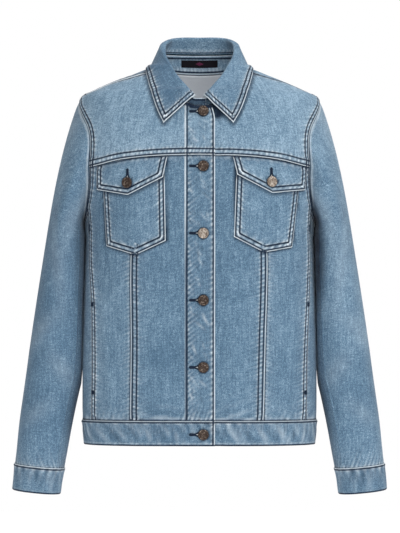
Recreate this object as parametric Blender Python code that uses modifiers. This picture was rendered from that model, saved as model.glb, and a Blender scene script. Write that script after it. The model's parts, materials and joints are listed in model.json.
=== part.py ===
"""A denim jacket, hollow and filled out as if worn, with its fronts buttoned and its collar folded.

The cloth lies on one smooth form. A level runs up the side of that form in millimetres, from the
hem, past the shoulder tip, to the base of the neck, and FORM gives the section at each level. Every
piece of the body is a patch of the form between its seams, thickened outwards. X is the wearer's
left, -Y the front and +Z up. The origin is the middle of the neck at shoulder height.
"""

import math

import bmesh
import bpy
import numpy as np
from mathutils import Vector

MM = 0.001
CLOTH = 1.2  # one layer of denim
DOUBLE = 2.4  # two layers, as in a cuff, a waistband or a placket
SEAM_GAP = 0.3
RIGHT, LEFT = -1, 1  # the wearer's sides, as signs of X

# ---------------------------------------------------------------- the form under the cloth
SQUARENESS = 2.5  # exponent of every horizontal section: 2 is an ellipse
# level, height z, half width, depth in front, depth behind, y of the middle
FORM = np.array([
    (0, -591, 182.6, 117, 112, 0),
    (40, -551, 185.2, 118, 113, 0),
    (111, -480, 185.5, 119, 113, 0),
    (211, -380, 184.6, 120, 112, 0),
    (291, -300, 182.2, 122, 111, 0),
    (357, -234, 180.0, 122, 110, 0),
    (411, -180, 186.0, 119, 107, 0),
    (451, -140, 192.0, 114, 103, 0),
    (491, -101, 194.5, 106, 98, 0),
    (531, -61, 193.5, 95, 90, 1),
    (553, -39.5, 189.5, 87, 83, 2),
    (580, -28, 166.0, 76, 76, 3),
    (612, -15, 137.0, 64, 68, 4),
    (646, -2, 105.0, 52, 60, 5),
    (663, 4.6, 89.0, 46, 56, 5),
    (683, 10.4, 70.0, 38, 50, 5),
    (700, 14.4, 56.0, 32, 44, 5),
], float)
LEVEL, HEIGHT, HALF_WIDTH, FRONT, BACK, MIDDLE = range(6)
TIP_ROW, UNDERARM_ROW = 10, 5  # rows of FORM at the shoulder tip and under the arm
ARCH_FOOT_Z = -160.0  # the yokes are measured by the angle about this height

# ---------------------------------------------------------------- seams, as (x, z) seen from the front
HEM_RISE = 5.0  # the hem and the waist seam rise this much at the centre front
WAIST_LEVEL = 39.0
WAIST_Z = -550.0
CENTRE_FRONT_X = 6.0  # the line of the buttons
REACH = {RIGHT: 24.0, LEFT: 14.0}  # how far each front passes the middle; the right one lies on top
PLACKET_INNER = 22.0  # the doubled placket's inner edge, on the right front
OVERLAP_LIFT, OVERLAP_EASE = 1.2, 16.0  # the right front stands this proud, reached over this width
UNDERLAP_DROP, UNDERLAP_EASE = 2.2, 20.0  # and the left front drops this far to pass under it
UNDERLAP_ROOM = 22.0  # the drop starts this far outside the right front's edge
CORNER_CUT, CORNER_Z = 6.0, -82.0  # the right front's top corner is rounded off above this height
EDGE_HEIGHTS = [WAIST_Z, -440.0, -340.0, -240.0]  # where the fronts' free edges are held straight
YOKE_SEAM = [(0, -135.5), (60, -136.2), (100, -139), (130, -143), (152, -148)]
PRINCESS = {RIGHT: [(107, -545), (106, -420), (106, -290), (104, -137)],
            LEFT: [(99, -545), (102, -420), (104.5, -290), (104, -137)]}
POCKET_SEAM = {RIGHT: [(168, -546), (167.5, -430), (168.4, -368), (172, -300)],
               LEFT: [(166, -546), (168.5, -430), (171, -368), (173, -300)]}
BACK_YOKE_SEAM = [(0, -126), (60, -127), (120, -131)]
BACK_PRINCESS = [(68, -551), (76, -420), (86, -270), (94, -129)]
BACK_SIDE_SEAM = [(163, -551), (166, -420), (170, -300)]
NECK_FRONT = [(0, -57), (12, -55.5), (23, -50.5), (33, -42), (42, -30.5), (50, -18), (57, -7.5)]
NECK_BACK = [(63, 7.8), (50, 5.4), (30, 3.4), (0, 2.4)]
NECK_RIDGE_Z = 11.4  # where the neck curve crosses the ridge of the shoulders
SHOULDER_SEAM = [(62.5, -0.8), (84, -3), (116, -11.4), (139, -18), (168, -30)]
# the armhole from the shoulder tip down the front, under the arm and up the back
ARMHOLE_FRONT = [(175.7, -85), (170.6, -152), (175.0, -213)]
ARMHOLE_BACK = [(177.5, -211), (178.0, -140), (183.0, -84)]
TIP, YOKE_END, POCKET_END, SIDE_END, BACK_YOKE_END = 0, 2, 3, 5, 6
ARMHOLE_STATIONS = 8

# ---------------------------------------------------------------- how finely each piece is divided
BODY_ROWS = 12
YOKE_ROWS = 8
BACK_YOKE_ROWS = 11
CENTRE_COLUMNS = 6
SIDE_TOP_COLUMNS = 4
SIDE_ARM_COLUMNS = 2
UNDERARM_COLUMNS = 6
BACK_ARM_COLUMNS = 2
BACK_TOP_COLUMNS = 4
HALF_BACK_COLUMNS = 6
SHOULDER_COLUMNS = 4
CAP_ROWS = 8
WAISTBAND_COLUMNS = 52
WAISTBAND_ROWS = 2

# ---------------------------------------------------------------- sleeves and cuffs
# height z, outer x, inner x, half depth, middle y
SLEEVE = np.array([
    (-262, 244.2, 180.0, 73, 2),
    (-305, 251.0, 179.0, 70, 0),
    (-350, 258.0, 180.0, 65, -2),
    (-400, 265.5, 181.0, 59.5, -4),
    (-450, 272.4, 183.0, 54, -6),
    (-480, 276.6, 185.5, 51, -6),
    (-510, 280.8, 192.6, 47.5, -7),
    (-560, 287.4, 203.5, 43.5, -8),
    (-600, 291.2, 211.0, 40.5, -9),
    (-626, 293.8, 216.0, 39, -10),
], float)
CUFF = np.array([
    (-626, 294.6, 215.4, 39.8, -10),
    (-646, 296.6, 218.8, 39.2, -10.5),
    (-666, 298.4, 221.6, 38.6, -11),
], float)
SLEEVE_SQUARENESS = 2.3
CUFF_TILT = 8.0  # the inner end of a ring at the wrist lies this much lower than the outer end
TILT_TOP_Z, TILT_FULL_Z = -480.0, -626.0
SLEEVE_CLEARANCE = 3.2  # least distance of the sleeve's inner face from the form
UNDERARM_LIFT = 1.4  # extra room for the sleeve's wall where it turns down under the arm
UNDERARM_WIDTH = 1.4  # how soon that room is reached round the armhole: 1 is slow
# the way the sleeve leaves the armhole: out, forwards and down, and what the turn adds to each
LEAVE_OUT, LEAVE_OUT_TURN = 0.55, -0.21
LEAVE_FORWARD_TURN = -0.35
LEAVE_DOWN, LEAVE_DOWN_TURN = -0.75, -0.15
# soft folds: turn from the outer end in degrees, height z, half width in degrees, half length,
# lean in degrees over the half length, and how far the fold stands out
SLEEVE_FOLDS = np.array([
    (112, -205, 16, 75, 10, 3.0),
    (84, -300, 14, 70, -16, 2.2),
    (60, -410, 22, 30, 24, 2.5),
    (108, -470, 20, 26, -20, 2.5),
    (70, -540, 24, 22, 18, 2.0),
    (285, -330, 20, 55, 16, 2.6),
    (262, -440, 24, 30, -22, 2.8),
    (300, -520, 24, 26, 18, 2.2),
], float)

# ---------------------------------------------------------------- collar, neckband and label
# Stations from the centre back to the front end. At each: the top of the neckband, the crest of the
# fold on which the collar turns, and the outer edge of its leaf.
COLLAR = np.array([
    # band top      fold crest         leaf edge
    (0, 67, 35.5, 0, 70, 65.5, 0, 75, -8),
    (24, 65, 35.5, 27, 68, 65.5, 32, 74, -8),
    (45, 55, 35, 47, 56, 62, 59, 67, -6),
    (58, 34, 33, 58, 33, 55, 76, 42, 0),
    (63.5, 8, 25.5, 61, 6, 46.5, 84, 10, 6),
    (61, -18, 13.5, 57, -20, 32, 85, -25, -3),
    (55.5, -43, -0.5, 48, -45, 14, 82, -57, -14),
    (44.5, -63.5, -16.5, 37, -65, -5, 77, -75, -30),
    (29.5, -79.5, -32, 23, -81, -22, 71, -90, -47.5),
    (15, -86, -42, 13, -89, -33, 63, -98, -67),
    (7, -89.5, -46, 7, -93, -40, 53, -104, -84.5),
], float)
BAND_TOP, FOLD_CREST, LEAF_EDGE = slice(0, 3), slice(3, 6), slice(6, 9)
RIGHT_TIP_SHIFT = 3.0  # the right collar tip lies this much further out than the left one
TIP_SHIFT_POWER = 6  # how soon that fades away from the tip
COLLAR_HALF_COLUMNS = 15
COLLAR_WALL = 2.2
FOLD_RADIUS = 3.0
LEAF_BULGE = 0.6
LEAF_LIFT_TOP, LEAF_LIFT_EDGE = 7.6, 4.1  # the leaf's outer face above the form
BAND_END_RIGHT, BAND_END_LEFT = 9.0, 10.4  # the two ends of the neckband nearly meet, at these x
BAND_GAP = 2.0  # the collar stands this much above the neckband
BAND_ROOM = 4.2  # the yokes stop this far from the neck curve, which leaves room for the band's wall
BAND_ROWS = 4
ROOM_EASE = 10.0  # the collar comes down from the placket's edge over this width
LABEL_HALF_WIDTH, LABEL_THICK = 29.5, 0.7
LABEL_SHARE = (0.385, 0.755)  # where the label lies on the height of the neckband

# ---------------------------------------------------------------- pockets, as (|x|, z) from the inner top corner
FLAP = {RIGHT: [(49.5, -137.2), (56, -170), (110, -197), (157.5, -188), (158.5, -151), (104, -141)],
        LEFT: [(51.5, -137.2), (58, -166), (112, -194), (162.5, -188), (165.5, -152), (108, -141)]}
POCKET = {RIGHT: [(54, -160), (52, -268), (99, -290), (144, -276), (150, -168), (102, -164)],
          LEFT: [(57, -160), (53, -262), (99.5, -286), (143.5, -278), (156, -168), (106, -164)]}
INNER_TOP, INNER_LOW, POINT, OUTER_LOW, OUTER_TOP, TOP_MIDDLE = range(6)
POCKET_COLUMNS = 8
POCKET_ROWS = 7
FLAP_ROWS = 4
PATCH_GAP = 0.6  # what lies on a panel clears it by this much, which the panels' facets need

# ---------------------------------------------------------------- buttons
BUTTON_Z = [-66.5, -152.5, -256.5, -360.0, -464.0, -568.0]
FLAP_BUTTON = {RIGHT: (112.0, -178.0), LEFT: (112.0, -176.5)}
# radius and height of a button's outline, from the middle of its face to its underside
BUTTON_PROFILE = [(0.0, 3.0), (4.8, 3.2), (6.0, 3.9), (7.4, 3.8), (8.3, 3.0), (8.3, 1.9), (7.2, 0.9),
                  (5.0, 0.3), (0.0, 0.3)]
BUTTON_SIDES = 20

COLOURS = {  # red, green, blue, roughness, metallic
    "denim": (0.27, 0.40, 0.53, 0.9, 0.0),
    "button metal": (0.20, 0.16, 0.13, 0.4, 1.0),
    "label": (0.02, 0.02, 0.03, 0.8, 0.0),
}


# ================================================================ the form
def smooth(keys, values, at):
    """Cubic curve through (keys, values), with slopes taken from each point's neighbours."""
    keys, values, at = (np.asarray(a, float) for a in (keys, values, at))
    slopes = np.gradient(values, keys)
    i = np.clip(np.searchsorted(keys, at, side="right") - 1, 0, len(keys) - 2)
    span = keys[i + 1] - keys[i]
    u = (at - keys[i]) / span
    return ((1 + 2 * u) * (1 - u) ** 2 * values[i] + u * (1 - u) ** 2 * span * slopes[i]
            + u * u * (3 - 2 * u) * values[i + 1] - u * u * (1 - u) * span * slopes[i + 1])


FINE_LEVELS = np.linspace(FORM[0, LEVEL], FORM[-1, LEVEL], 2400)
FINE = {column: smooth(FORM[:, LEVEL], FORM[:, column], FINE_LEVELS)
        for column in (HEIGHT, HALF_WIDTH, FRONT, BACK, MIDDLE)}
FINE_ANGLES = np.linspace(0, math.pi / 2, 1200)


def section_scale(angle):
    """The factor that turns an ellipse's point into the section's."""
    return (np.abs(np.sin(angle)) ** SQUARENESS + np.abs(np.cos(angle)) ** SQUARENESS) ** (-1 / SQUARENESS)


FINE_SHARES = np.sin(FINE_ANGLES) * section_scale(FINE_ANGLES)


def by_level(column, level):
    return np.interp(level, FINE_LEVELS, FINE[column])


def by_height(column, z):
    return np.interp(z, FINE[HEIGHT], FINE[column])


def level_of(z):
    return np.interp(z, FINE[HEIGHT], FINE_LEVELS)


def form(angle, level):
    """Points of the form: angle is 0 at the centre front, 90 degrees at the wearer's left side."""
    angle, level = np.broadcast_arrays(np.asarray(angle, float), np.asarray(level, float))
    depth = np.where(np.cos(angle) > 0, by_level(FRONT, level), by_level(BACK, level))
    scale = section_scale(angle)
    return np.stack([by_level(HALF_WIDTH, level) * np.sin(angle) * scale,
                     by_level(MIDDLE, level) - depth * np.cos(angle) * scale,
                     by_level(HEIGHT, level)], axis=-1)


def place(points, side, behind=False):
    """(angle, level) of points given as (|x|, z) on the front of the form, or on its back."""
    points = np.asarray(points, float)
    level = level_of(points[:, 1])
    share = points[:, 0] / by_level(HALF_WIDTH, level)
    angle = np.interp(np.abs(share), FINE_SHARES, FINE_ANGLES) * np.where(share < 0, -1, 1)
    return np.stack([side * (math.pi - angle if behind else angle), level], axis=1)


def arch(x, turn):
    """Points of the form by x and by the angle over the shoulder: 0 in front, 90 degrees on the ridge.

    A ray leaves the form's middle at ARCH_FOOT_Z in the plane of that x, and halving finds
    where it leaves the section.
    """
    x, turn = np.broadcast_arrays(np.asarray(x, float), np.asarray(turn, float))
    near, far = np.zeros(x.shape), np.full(x.shape, 320.0)
    for _ in range(50):
        reach = (near + far) / 2
        z = ARCH_FOOT_Z + reach * np.sin(turn)
        y = by_height(MIDDLE, ARCH_FOOT_Z) - reach * np.cos(turn)
        off = y - by_height(MIDDLE, z)
        depth = np.where(off < 0, by_height(FRONT, z), by_height(BACK, z))
        inside = ((np.abs(x) / by_height(HALF_WIDTH, z)) ** SQUARENESS
                  + (np.abs(off) / depth) ** SQUARENESS < 1) & (z < FORM[-1, HEIGHT])
        near, far = np.where(inside, reach, near), np.where(inside, far, reach)
    return np.stack([x, y, z], axis=-1)


def arch_place(points):
    """(x, angle over the shoulder) of points on the form."""
    return np.stack([points[:, 0], np.arctan2(points[:, 2] - ARCH_FOOT_Z,
                                              by_height(MIDDLE, ARCH_FOOT_Z) - points[:, 1])], axis=1)


def form_value(points):
    """1 on the form, less inside it and more outside."""
    x, y, z = np.moveaxis(points, -1, 0)
    off = y - by_height(MIDDLE, z)
    depth = np.where(off < 0, by_height(FRONT, z), by_height(BACK, z))
    return ((np.abs(x) / by_height(HALF_WIDTH, z)) ** SQUARENESS
            + (np.abs(off) / depth) ** SQUARENESS) ** (1 / SQUARENESS)


def form_slope(points, step=0.5):
    """How fast form_value changes along x, y and z."""
    slopes = [form_value(points + step * axis) - form_value(points - step * axis) for axis in np.eye(3)]
    return np.stack(slopes, axis=-1) / (2 * step)


def form_normal(points):
    slope = form_slope(points)
    return slope / np.linalg.norm(slope, axis=-1, keepdims=True)


def lifted(points, lift):
    """The points moved out of the form by lift, a number or one for each point."""
    return points + form_normal(points) * np.broadcast_to(lift, points.shape[:-1])[..., None]


def cleared(points, lift):
    """The points, those nearer to the form than lift moved out to that distance."""
    lift = np.broadcast_to(lift, points.shape[:-1])
    for _ in range(8):
        slope = form_slope(points)
        size = np.linalg.norm(slope, axis=-1)
        short = np.clip(lift - (form_value(points) - 1) / size, 0, None)
        short = np.where(points[..., 2] < FORM[-1, HEIGHT] - 2, short, 0)
        points = points + slope / size[..., None] * short[..., None]
    return points


def onto_form(points):
    """The points brought back to the form by a few short steps."""
    for _ in range(5):
        slope = form_slope(points)
        square = (slope ** 2).sum(axis=-1, keepdims=True)
        points = points - slope * ((form_value(points) - 1)[..., None] / square)
    return points


# ================================================================ curves and patches
def spread(points, count):
    """count steps along a smooth curve through the points, evenly spaced on it."""
    points = np.asarray(points, float)
    along = np.concatenate([[0], np.cumsum(np.linalg.norm(np.diff(points, axis=0), axis=1))])
    fine = np.linspace(0, along[-1], 60 * len(points))
    line = np.stack([smooth(along, column, fine) for column in points.T], axis=1)
    run = np.concatenate([[0], np.cumsum(np.linalg.norm(np.diff(line, axis=0), axis=1))])
    at = np.linspace(0, run[-1], count + 1)
    return np.stack([np.interp(at, run, column) for column in line.T], axis=1)


def spread_domain(points, count):
    """spread for (angle, level) points, with a radian weighed as 150 mm of level."""
    return spread(np.asarray(points) * (150, 1), count) / (150, 1)


def followed(curve, guide):
    """Points along a curve at the same shares of its length as the guide's points have of its own."""
    runs = [np.concatenate([[0], np.cumsum(np.linalg.norm(np.diff(line, axis=0), axis=1))])
            for line in (curve, guide)]
    at = runs[1] * runs[0][-1] / runs[1][-1]
    return np.stack([np.interp(at, runs[0], column) for column in curve.T], axis=1)


def coons(bottom, top, left, right):
    """Grid of domain points between four edges: rows run from bottom to top."""
    a = np.linspace(0, 1, len(bottom))[None, :, None]
    b = np.linspace(0, 1, len(left))[:, None, None]
    corners = (1 - b) * ((1 - a) * bottom[0] + a * bottom[-1]) + b * ((1 - a) * top[0] + a * top[-1])
    return (1 - b) * bottom[None] + b * top[None] + (1 - a) * left[:, None] + a * right[:, None] - corners


def joined(*curves):
    """Curves end to end, each shared end once."""
    return np.concatenate([curves[0]] + [curve[1:] for curve in curves[1:]])


def armhole(first, last, steps, side):
    """(angle, level) along the armhole between two of its stations, which a closed curve joins."""
    stations = np.concatenate([[(math.pi / 2, FORM[TIP_ROW, LEVEL])], place(ARMHOLE_FRONT, LEFT),
                               [(math.pi / 2, FORM[UNDERARM_ROW, LEVEL])],
                               place(ARMHOLE_BACK, LEFT, behind=True)])
    turns = np.tile(stations, (3, 1))
    keys = np.arange(len(turns)) - ARMHOLE_STATIONS
    at = np.linspace(first, last, steps + 1)
    return np.stack([side * smooth(keys, turns[:, 0], at), smooth(keys, turns[:, 1], at)], axis=1)


def grid_normals(grid):
    """Unit normals of a grid of points, from the steps along its rows and columns."""
    normal = np.cross(np.gradient(grid, axis=1), np.gradient(grid, axis=0))
    return normal / np.maximum(np.linalg.norm(normal, axis=2, keepdims=True), 1e-9)


def trimmed(grid, edges="lrbt", gap=SEAM_GAP / 2):
    """The grid with its left, right, bottom and top edges drawn in by half a seam's gap."""
    grid = grid.copy()
    for edge, index, inner, axis in (("b", 0, 1, 0), ("t", -1, -2, 0), ("l", 0, 1, 1), ("r", -1, -2, 1)):
        if edge not in edges:
            continue
        step = np.take(grid, inner, axis) - np.take(grid, index, axis)
        step *= gap / np.linalg.norm(step, axis=1, keepdims=True)
        if axis == 0:
            grid[index] += step
        else:
            grid[:, index] += step
    return grid


# ================================================================ Blender objects
def material(name):
    found = bpy.data.materials.get(name)
    if found:
        return found
    red, green, blue, roughness, metallic = COLOURS[name]
    made = bpy.data.materials.new(name)
    made.use_nodes = True
    shader = made.node_tree.nodes["Principled BSDF"]
    shader.inputs["Base Color"].default_value = (red, green, blue, 1)
    shader.inputs["Roughness"].default_value = roughness
    shader.inputs["Metallic"].default_value = metallic
    return made


def add_object(name, mesh, finish="denim"):
    mesh.materials.append(material(finish))
    made = bpy.data.objects.new(name, mesh)
    bpy.data.collections["denim jacket"].objects.link(made)
    return made


def cloth(name, grid, wall=CLOTH, closed=False, shares=None, finish="denim", facing=None,
          inwards=False):
    """A cloth piece: an open sheet of quads through the grid, thickened on its outer side or inwards.

    closed joins each row's ends. shares gives each point's part of the wall where it varies.
    facing is 1 where the grid's own normals point out; by default the form decides.
    """
    rows, columns = grid.shape[:2]
    if facing is None:
        facing = np.sign((form_normal(grid) * grid_normals(grid)).sum())
    index = np.arange(rows * columns).reshape(rows, columns)
    right = np.roll(index, -1, axis=1) if closed else index[:, 1:]
    left = index if closed else index[:, :-1]
    quads = np.stack([left[:-1], right[:-1], right[1:], left[1:]], axis=-1).reshape(-1, 4)
    if facing < 0:
        quads = quads[:, ::-1]
    mesh = bpy.data.meshes.new(name)
    mesh.from_pydata((grid.reshape(-1, 3) * MM).tolist(), [], quads.tolist())
    mesh.shade_smooth()
    made = add_object(name, mesh, finish)
    thickness = made.modifiers.new("wall", "SOLIDIFY")
    thickness.thickness = wall * MM
    thickness.offset = -1 if inwards else 1
    if shares is not None:
        group = made.vertex_groups.new(name="wall")
        for vertex, share in enumerate(np.broadcast_to(shares, (rows, columns)).ravel()):
            group.add([vertex], float(share), "REPLACE")
        thickness.vertex_group = "wall"
    return made


# ================================================================ fronts and sides
def waist_curve(first, last, steps, level=WAIST_LEVEL):
    """(angle, level) round the waist seam, or the hem, between two angles."""
    angle = np.linspace(first, last, steps + 1)
    return np.stack([angle, level + HEM_RISE * np.maximum(np.cos(angle), 0)], axis=1)


def eased(share):
    share = np.clip(share, 0, 1)
    return share * share * (3 - 2 * share)


def front_lift(x, side):
    """How far a front stands off the form near the placket: the right one up, the left one down."""
    if side == RIGHT:
        return OVERLAP_LIFT * eased((x + PLACKET_INNER + OVERLAP_EASE) / OVERLAP_EASE)
    return -UNDERLAP_DROP * eased((REACH[RIGHT] + UNDERLAP_ROOM - x) / UNDERLAP_EASE)


def placket_shares(grid, side):
    """Each point's part of DOUBLE: the whole on the right front's placket, one layer elsewhere."""
    doubled = (side == RIGHT) & (grid[..., 0] > -PLACKET_INNER)
    return np.where(doubled, 1.0, CLOTH / DOUBLE)


def seam_up(points, top, side, behind=False):
    """(angle, level) up a vertical seam, from the waist seam through the points to the point top."""
    line = np.concatenate([place(points[1:], side, behind), [top]])
    foot = place(points[:1], side, behind)[0, 0]
    return spread_domain(np.concatenate([waist_curve(foot, foot, 0), line]), BODY_ROWS)


def seam_across(points, first, last, steps, side, behind=False):
    """(angle, level) along a yoke seam given as (|x|, z), between two values of |x|."""
    x, z = np.asarray(points, float).T
    at = np.linspace(first, last, steps + 1)
    return place(np.stack([at, smooth(x, z, np.abs(at))], axis=1), side, behind)


def yoke_seam(side):
    """The front yoke seam in two pieces: above the centre panel, and above the side panel."""
    points = YOKE_SEAM + [ARMHOLE_FRONT[1]]
    princess = PRINCESS[side][-1][0]
    return (seam_across(points, -REACH[side], princess, CENTRE_COLUMNS, side),
            seam_across(points, princess, points[-1][0], SIDE_TOP_COLUMNS, side))


def back_yoke_seam(side):
    """The back yoke seam in two pieces: above the side panel, and on to the middle."""
    points = BACK_YOKE_SEAM + [ARMHOLE_BACK[1]]
    princess = BACK_PRINCESS[-1][0]
    return (seam_across(points, points[-1][0], princess, BACK_TOP_COLUMNS, side, behind=True),
            seam_across(points, princess, 0, HALF_BACK_COLUMNS, side, behind=True))


def on_form(bottom, top, left, right):
    domain = coons(bottom, top, left, right)
    return form(domain[..., 0], domain[..., 1])


def front_centre(side):
    """Centre panel, from the free edge to the princess seam and from waistband to yoke."""
    top = yoke_seam(side)[0]
    left = seam_up([(-REACH[side], z) for z in EDGE_HEIGHTS], top[0], side)
    right = seam_up(PRINCESS[side][:-1], top[-1], side)
    bottom = waist_curve(left[0, 0], right[0, 0], CENTRE_COLUMNS)
    grid = on_form(bottom, top, left, right)
    return trimmed(lifted(grid, front_lift(grid[..., 0], side)))


def front_side(side):
    """Side panel of the front, between the princess seam and the pocket seam."""
    top = joined(yoke_seam(side)[1], armhole(YOKE_END, POCKET_END, SIDE_ARM_COLUMNS, side))
    left = seam_up(PRINCESS[side][:-1], top[0], side)
    right = seam_up(POCKET_SEAM[side], top[-1], side)
    return trimmed(on_form(waist_curve(left[0, 0], right[0, 0], len(top) - 1), top, left, right))


def side_panel(side):
    """Panel under the arm, between the pocket seam and the back side seam."""
    top = armhole(POCKET_END, SIDE_END, UNDERARM_COLUMNS, side)
    left = seam_up(POCKET_SEAM[side], top[0], side)
    right = seam_up(BACK_SIDE_SEAM, top[-1], side, behind=True)
    return trimmed(on_form(waist_curve(left[0, 0], right[0, 0], UNDERARM_COLUMNS), top, left, right))


def back_side(side):
    """Side panel of the back, between the back side seam and the back princess seam."""
    top = joined(armhole(SIDE_END, BACK_YOKE_END, BACK_ARM_COLUMNS, side), back_yoke_seam(side)[0])
    left = seam_up(BACK_SIDE_SEAM, top[0], side, behind=True)
    right = seam_up(BACK_PRINCESS[:-1], top[-1], side, behind=True)
    return trimmed(on_form(waist_curve(left[0, 0], right[0, 0], len(top) - 1), top, left, right))


def back_centre():
    """Centre panel of the back, between the two back princess seams."""
    halves = []
    for side in (RIGHT, LEFT):
        top = back_yoke_seam(side)[1]
        left = seam_up(BACK_PRINCESS[:-1], top[0], side, behind=True)
        middle = side * math.pi
        right = np.stack([np.full(BODY_ROWS + 1, middle),
                          np.linspace(WAIST_LEVEL, top[-1, 1], BODY_ROWS + 1)], axis=1)
        halves.append(on_form(waist_curve(left[0, 0], middle, HALF_BACK_COLUMNS), top, left, right))
    return trimmed(np.concatenate([halves[0], halves[1][:, -2::-1]], axis=1))


def waistband():
    """Waistband: a strip from the right front's free edge round the back to the left front's."""
    start = place([(REACH[RIGHT], WAIST_Z)], LEFT)[0, 0]
    end = place([(REACH[LEFT], WAIST_Z)], RIGHT)[0, 0] - 2 * math.pi
    rows = [waist_curve(start, end, WAISTBAND_COLUMNS, level)
            for level in np.linspace(0, WAIST_LEVEL, WAISTBAND_ROWS + 1)]
    domain = np.array(rows)
    grid = form(domain[..., 0], domain[..., 1])
    on_right = np.arange(WAISTBAND_COLUMNS + 1) < WAISTBAND_COLUMNS / 2
    lift = np.where(on_right & (grid[..., 1] < 0), front_lift(grid[..., 0], RIGHT), 0)
    lift = np.where(~on_right & (grid[..., 1] < 0), front_lift(grid[..., 0], LEFT), lift)
    return trimmed(lifted(grid, lift), "t")


# ================================================================ yokes
def arched(bottom, top, left, right):
    """A patch of the form between four edges given as points, by x and the angle over the shoulder."""
    domain = coons(*(arch_place(edge) for edge in (bottom, top, left, right)))
    return arch(domain[..., 0], domain[..., 1])


def outside_band(points):
    """Points of the neck curve moved down the form, to where the yokes meet the neckband."""
    normal = form_normal(points)
    away = (points - (0, FORM[-1, MIDDLE], 0)) * (1, 1, 0)
    away -= normal * (away * normal).sum(axis=1, keepdims=True)
    return onto_form(points + BAND_ROOM * away / np.linalg.norm(away, axis=1, keepdims=True))


def shoulder_seam(side):
    """Points of the shoulder seam, from the neckband to the shoulder tip."""
    points = form(*np.concatenate([place(SHOULDER_SEAM, side), armhole(TIP, TIP, 0, side)]).T)
    return spread(np.concatenate([outside_band(points[:1]), points[1:]]), SHOULDER_COLUMNS)


def neck_front(side, steps):
    """Points of the front neck curve, from the free edge to the shoulder seam."""
    start = [(-REACH[side] + (CORNER_CUT if side == RIGHT else 0), NECK_FRONT[0][1])]
    domain = place(start + NECK_FRONT[1:] + SHOULDER_SEAM[:1], side)
    return spread(form(*domain.T), steps)


def neck_back(side, steps):
    """Points of the back neck curve, from the shoulder seam over the ridge to the middle."""
    over = np.array([(side * math.pi / 2, level_of(NECK_RIDGE_Z))])
    domain = np.concatenate([place(SHOULDER_SEAM[:1], side), over, place(NECK_BACK, side, behind=True)])
    return spread(form(*domain.T), steps)


def free_edge(side, z):
    """Points of a front's free edge at heights z, its top corner rounded on the right front."""
    cut = CORNER_CUT * np.clip((z - CORNER_Z) / (NECK_FRONT[0][1] - CORNER_Z), 0, 1) ** 2
    reach = REACH[side] - (cut if side == RIGHT else 0)
    domain = place(np.stack([-reach * np.ones(len(z)), z], axis=1), side)
    return form(*domain.T)


def front_yoke(side):
    """Front yoke, from the yoke seam to the neck and the shoulder seam."""
    bottom = form(*joined(*yoke_seam(side)).T)
    neck_steps = CENTRE_COLUMNS + SIDE_TOP_COLUMNS - SHOULDER_COLUMNS
    top = joined(outside_band(neck_front(side, neck_steps)), shoulder_seam(side))
    left = free_edge(side, np.linspace(bottom[0, 2], top[0, 2], YOKE_ROWS + 1))
    left[-1] = top[0]
    right = form(*armhole(YOKE_END, TIP, YOKE_ROWS, side).T)
    grid = arched(bottom, top, left, right)
    return trimmed(lifted(grid, front_lift(grid[..., 0], side)))


def back_yoke():
    """Back yoke, from armhole to armhole, over both shoulders."""
    halves = []
    for side in (RIGHT, LEFT):
        bottom = form(*joined(*back_yoke_seam(side)).T)
        neck_steps = BACK_TOP_COLUMNS + HALF_BACK_COLUMNS - SHOULDER_COLUMNS
        top = joined(shoulder_seam(side)[::-1], outside_band(neck_back(side, neck_steps)))
        left = form(*armhole(BACK_YOKE_END, ARMHOLE_STATIONS, BACK_YOKE_ROWS, side).T)
        middle = np.linspace(arch_place(bottom)[-1, 1], arch_place(top)[-1, 1], BACK_YOKE_ROWS + 1)
        right = arch(np.zeros(BACK_YOKE_ROWS + 1), middle)
        halves.append(arched(bottom, top, left, right))
    return trimmed(np.concatenate([halves[0], halves[1][:, -2::-1]], axis=1))


# ================================================================ sleeves and cuffs
def ring(row, turn, wall):
    """Inner face of a sleeve or cuff at one row of its table, by the turn from the outer end."""
    z, outer, inner, depth, middle = row
    around = SLEEVE_SQUARENESS
    scale = (np.abs(np.cos(turn)) ** around + np.abs(np.sin(turn)) ** around) ** (-1 / around)
    tilt = CUFF_TILT / 2 * eased((TILT_TOP_Z - z) / (TILT_TOP_Z - TILT_FULL_Z))
    x = (outer + inner) / 2 + ((outer - inner) / 2 - wall) * np.cos(turn) * scale
    y = middle - (depth - wall) * np.sin(turn) * scale
    return np.stack([x, y, z + tilt * np.cos(turn)], axis=-1)


def sleeve_turns():
    """The armhole stations at which the body panels have corners, which the sleeve's columns share."""
    spans = [(TIP, YOKE_END, YOKE_ROWS), (YOKE_END, POCKET_END, SIDE_ARM_COLUMNS),
             (POCKET_END, SIDE_END, UNDERARM_COLUMNS), (SIDE_END, BACK_YOKE_END, BACK_ARM_COLUMNS),
             (BACK_YOKE_END, ARMHOLE_STATIONS, BACK_YOKE_ROWS)]
    return np.concatenate([np.linspace(first, last, steps + 1)[:-1] for first, last, steps in spans])


def sleeve_creases(grid, turn):
    """How far each point of a sleeve is pushed out by its large soft folds."""
    push = np.zeros(grid.shape[:2])
    for middle, height, half_turn, half_length, lean, depth in SLEEVE_FOLDS:
        along = (grid[..., 2] - height) / half_length
        off = (np.degrees(turn)[None] - middle - lean * along + 180) % 360 - 180
        push += depth * np.exp(-(off / half_turn) ** 2 - along ** 2)
    return push


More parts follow.
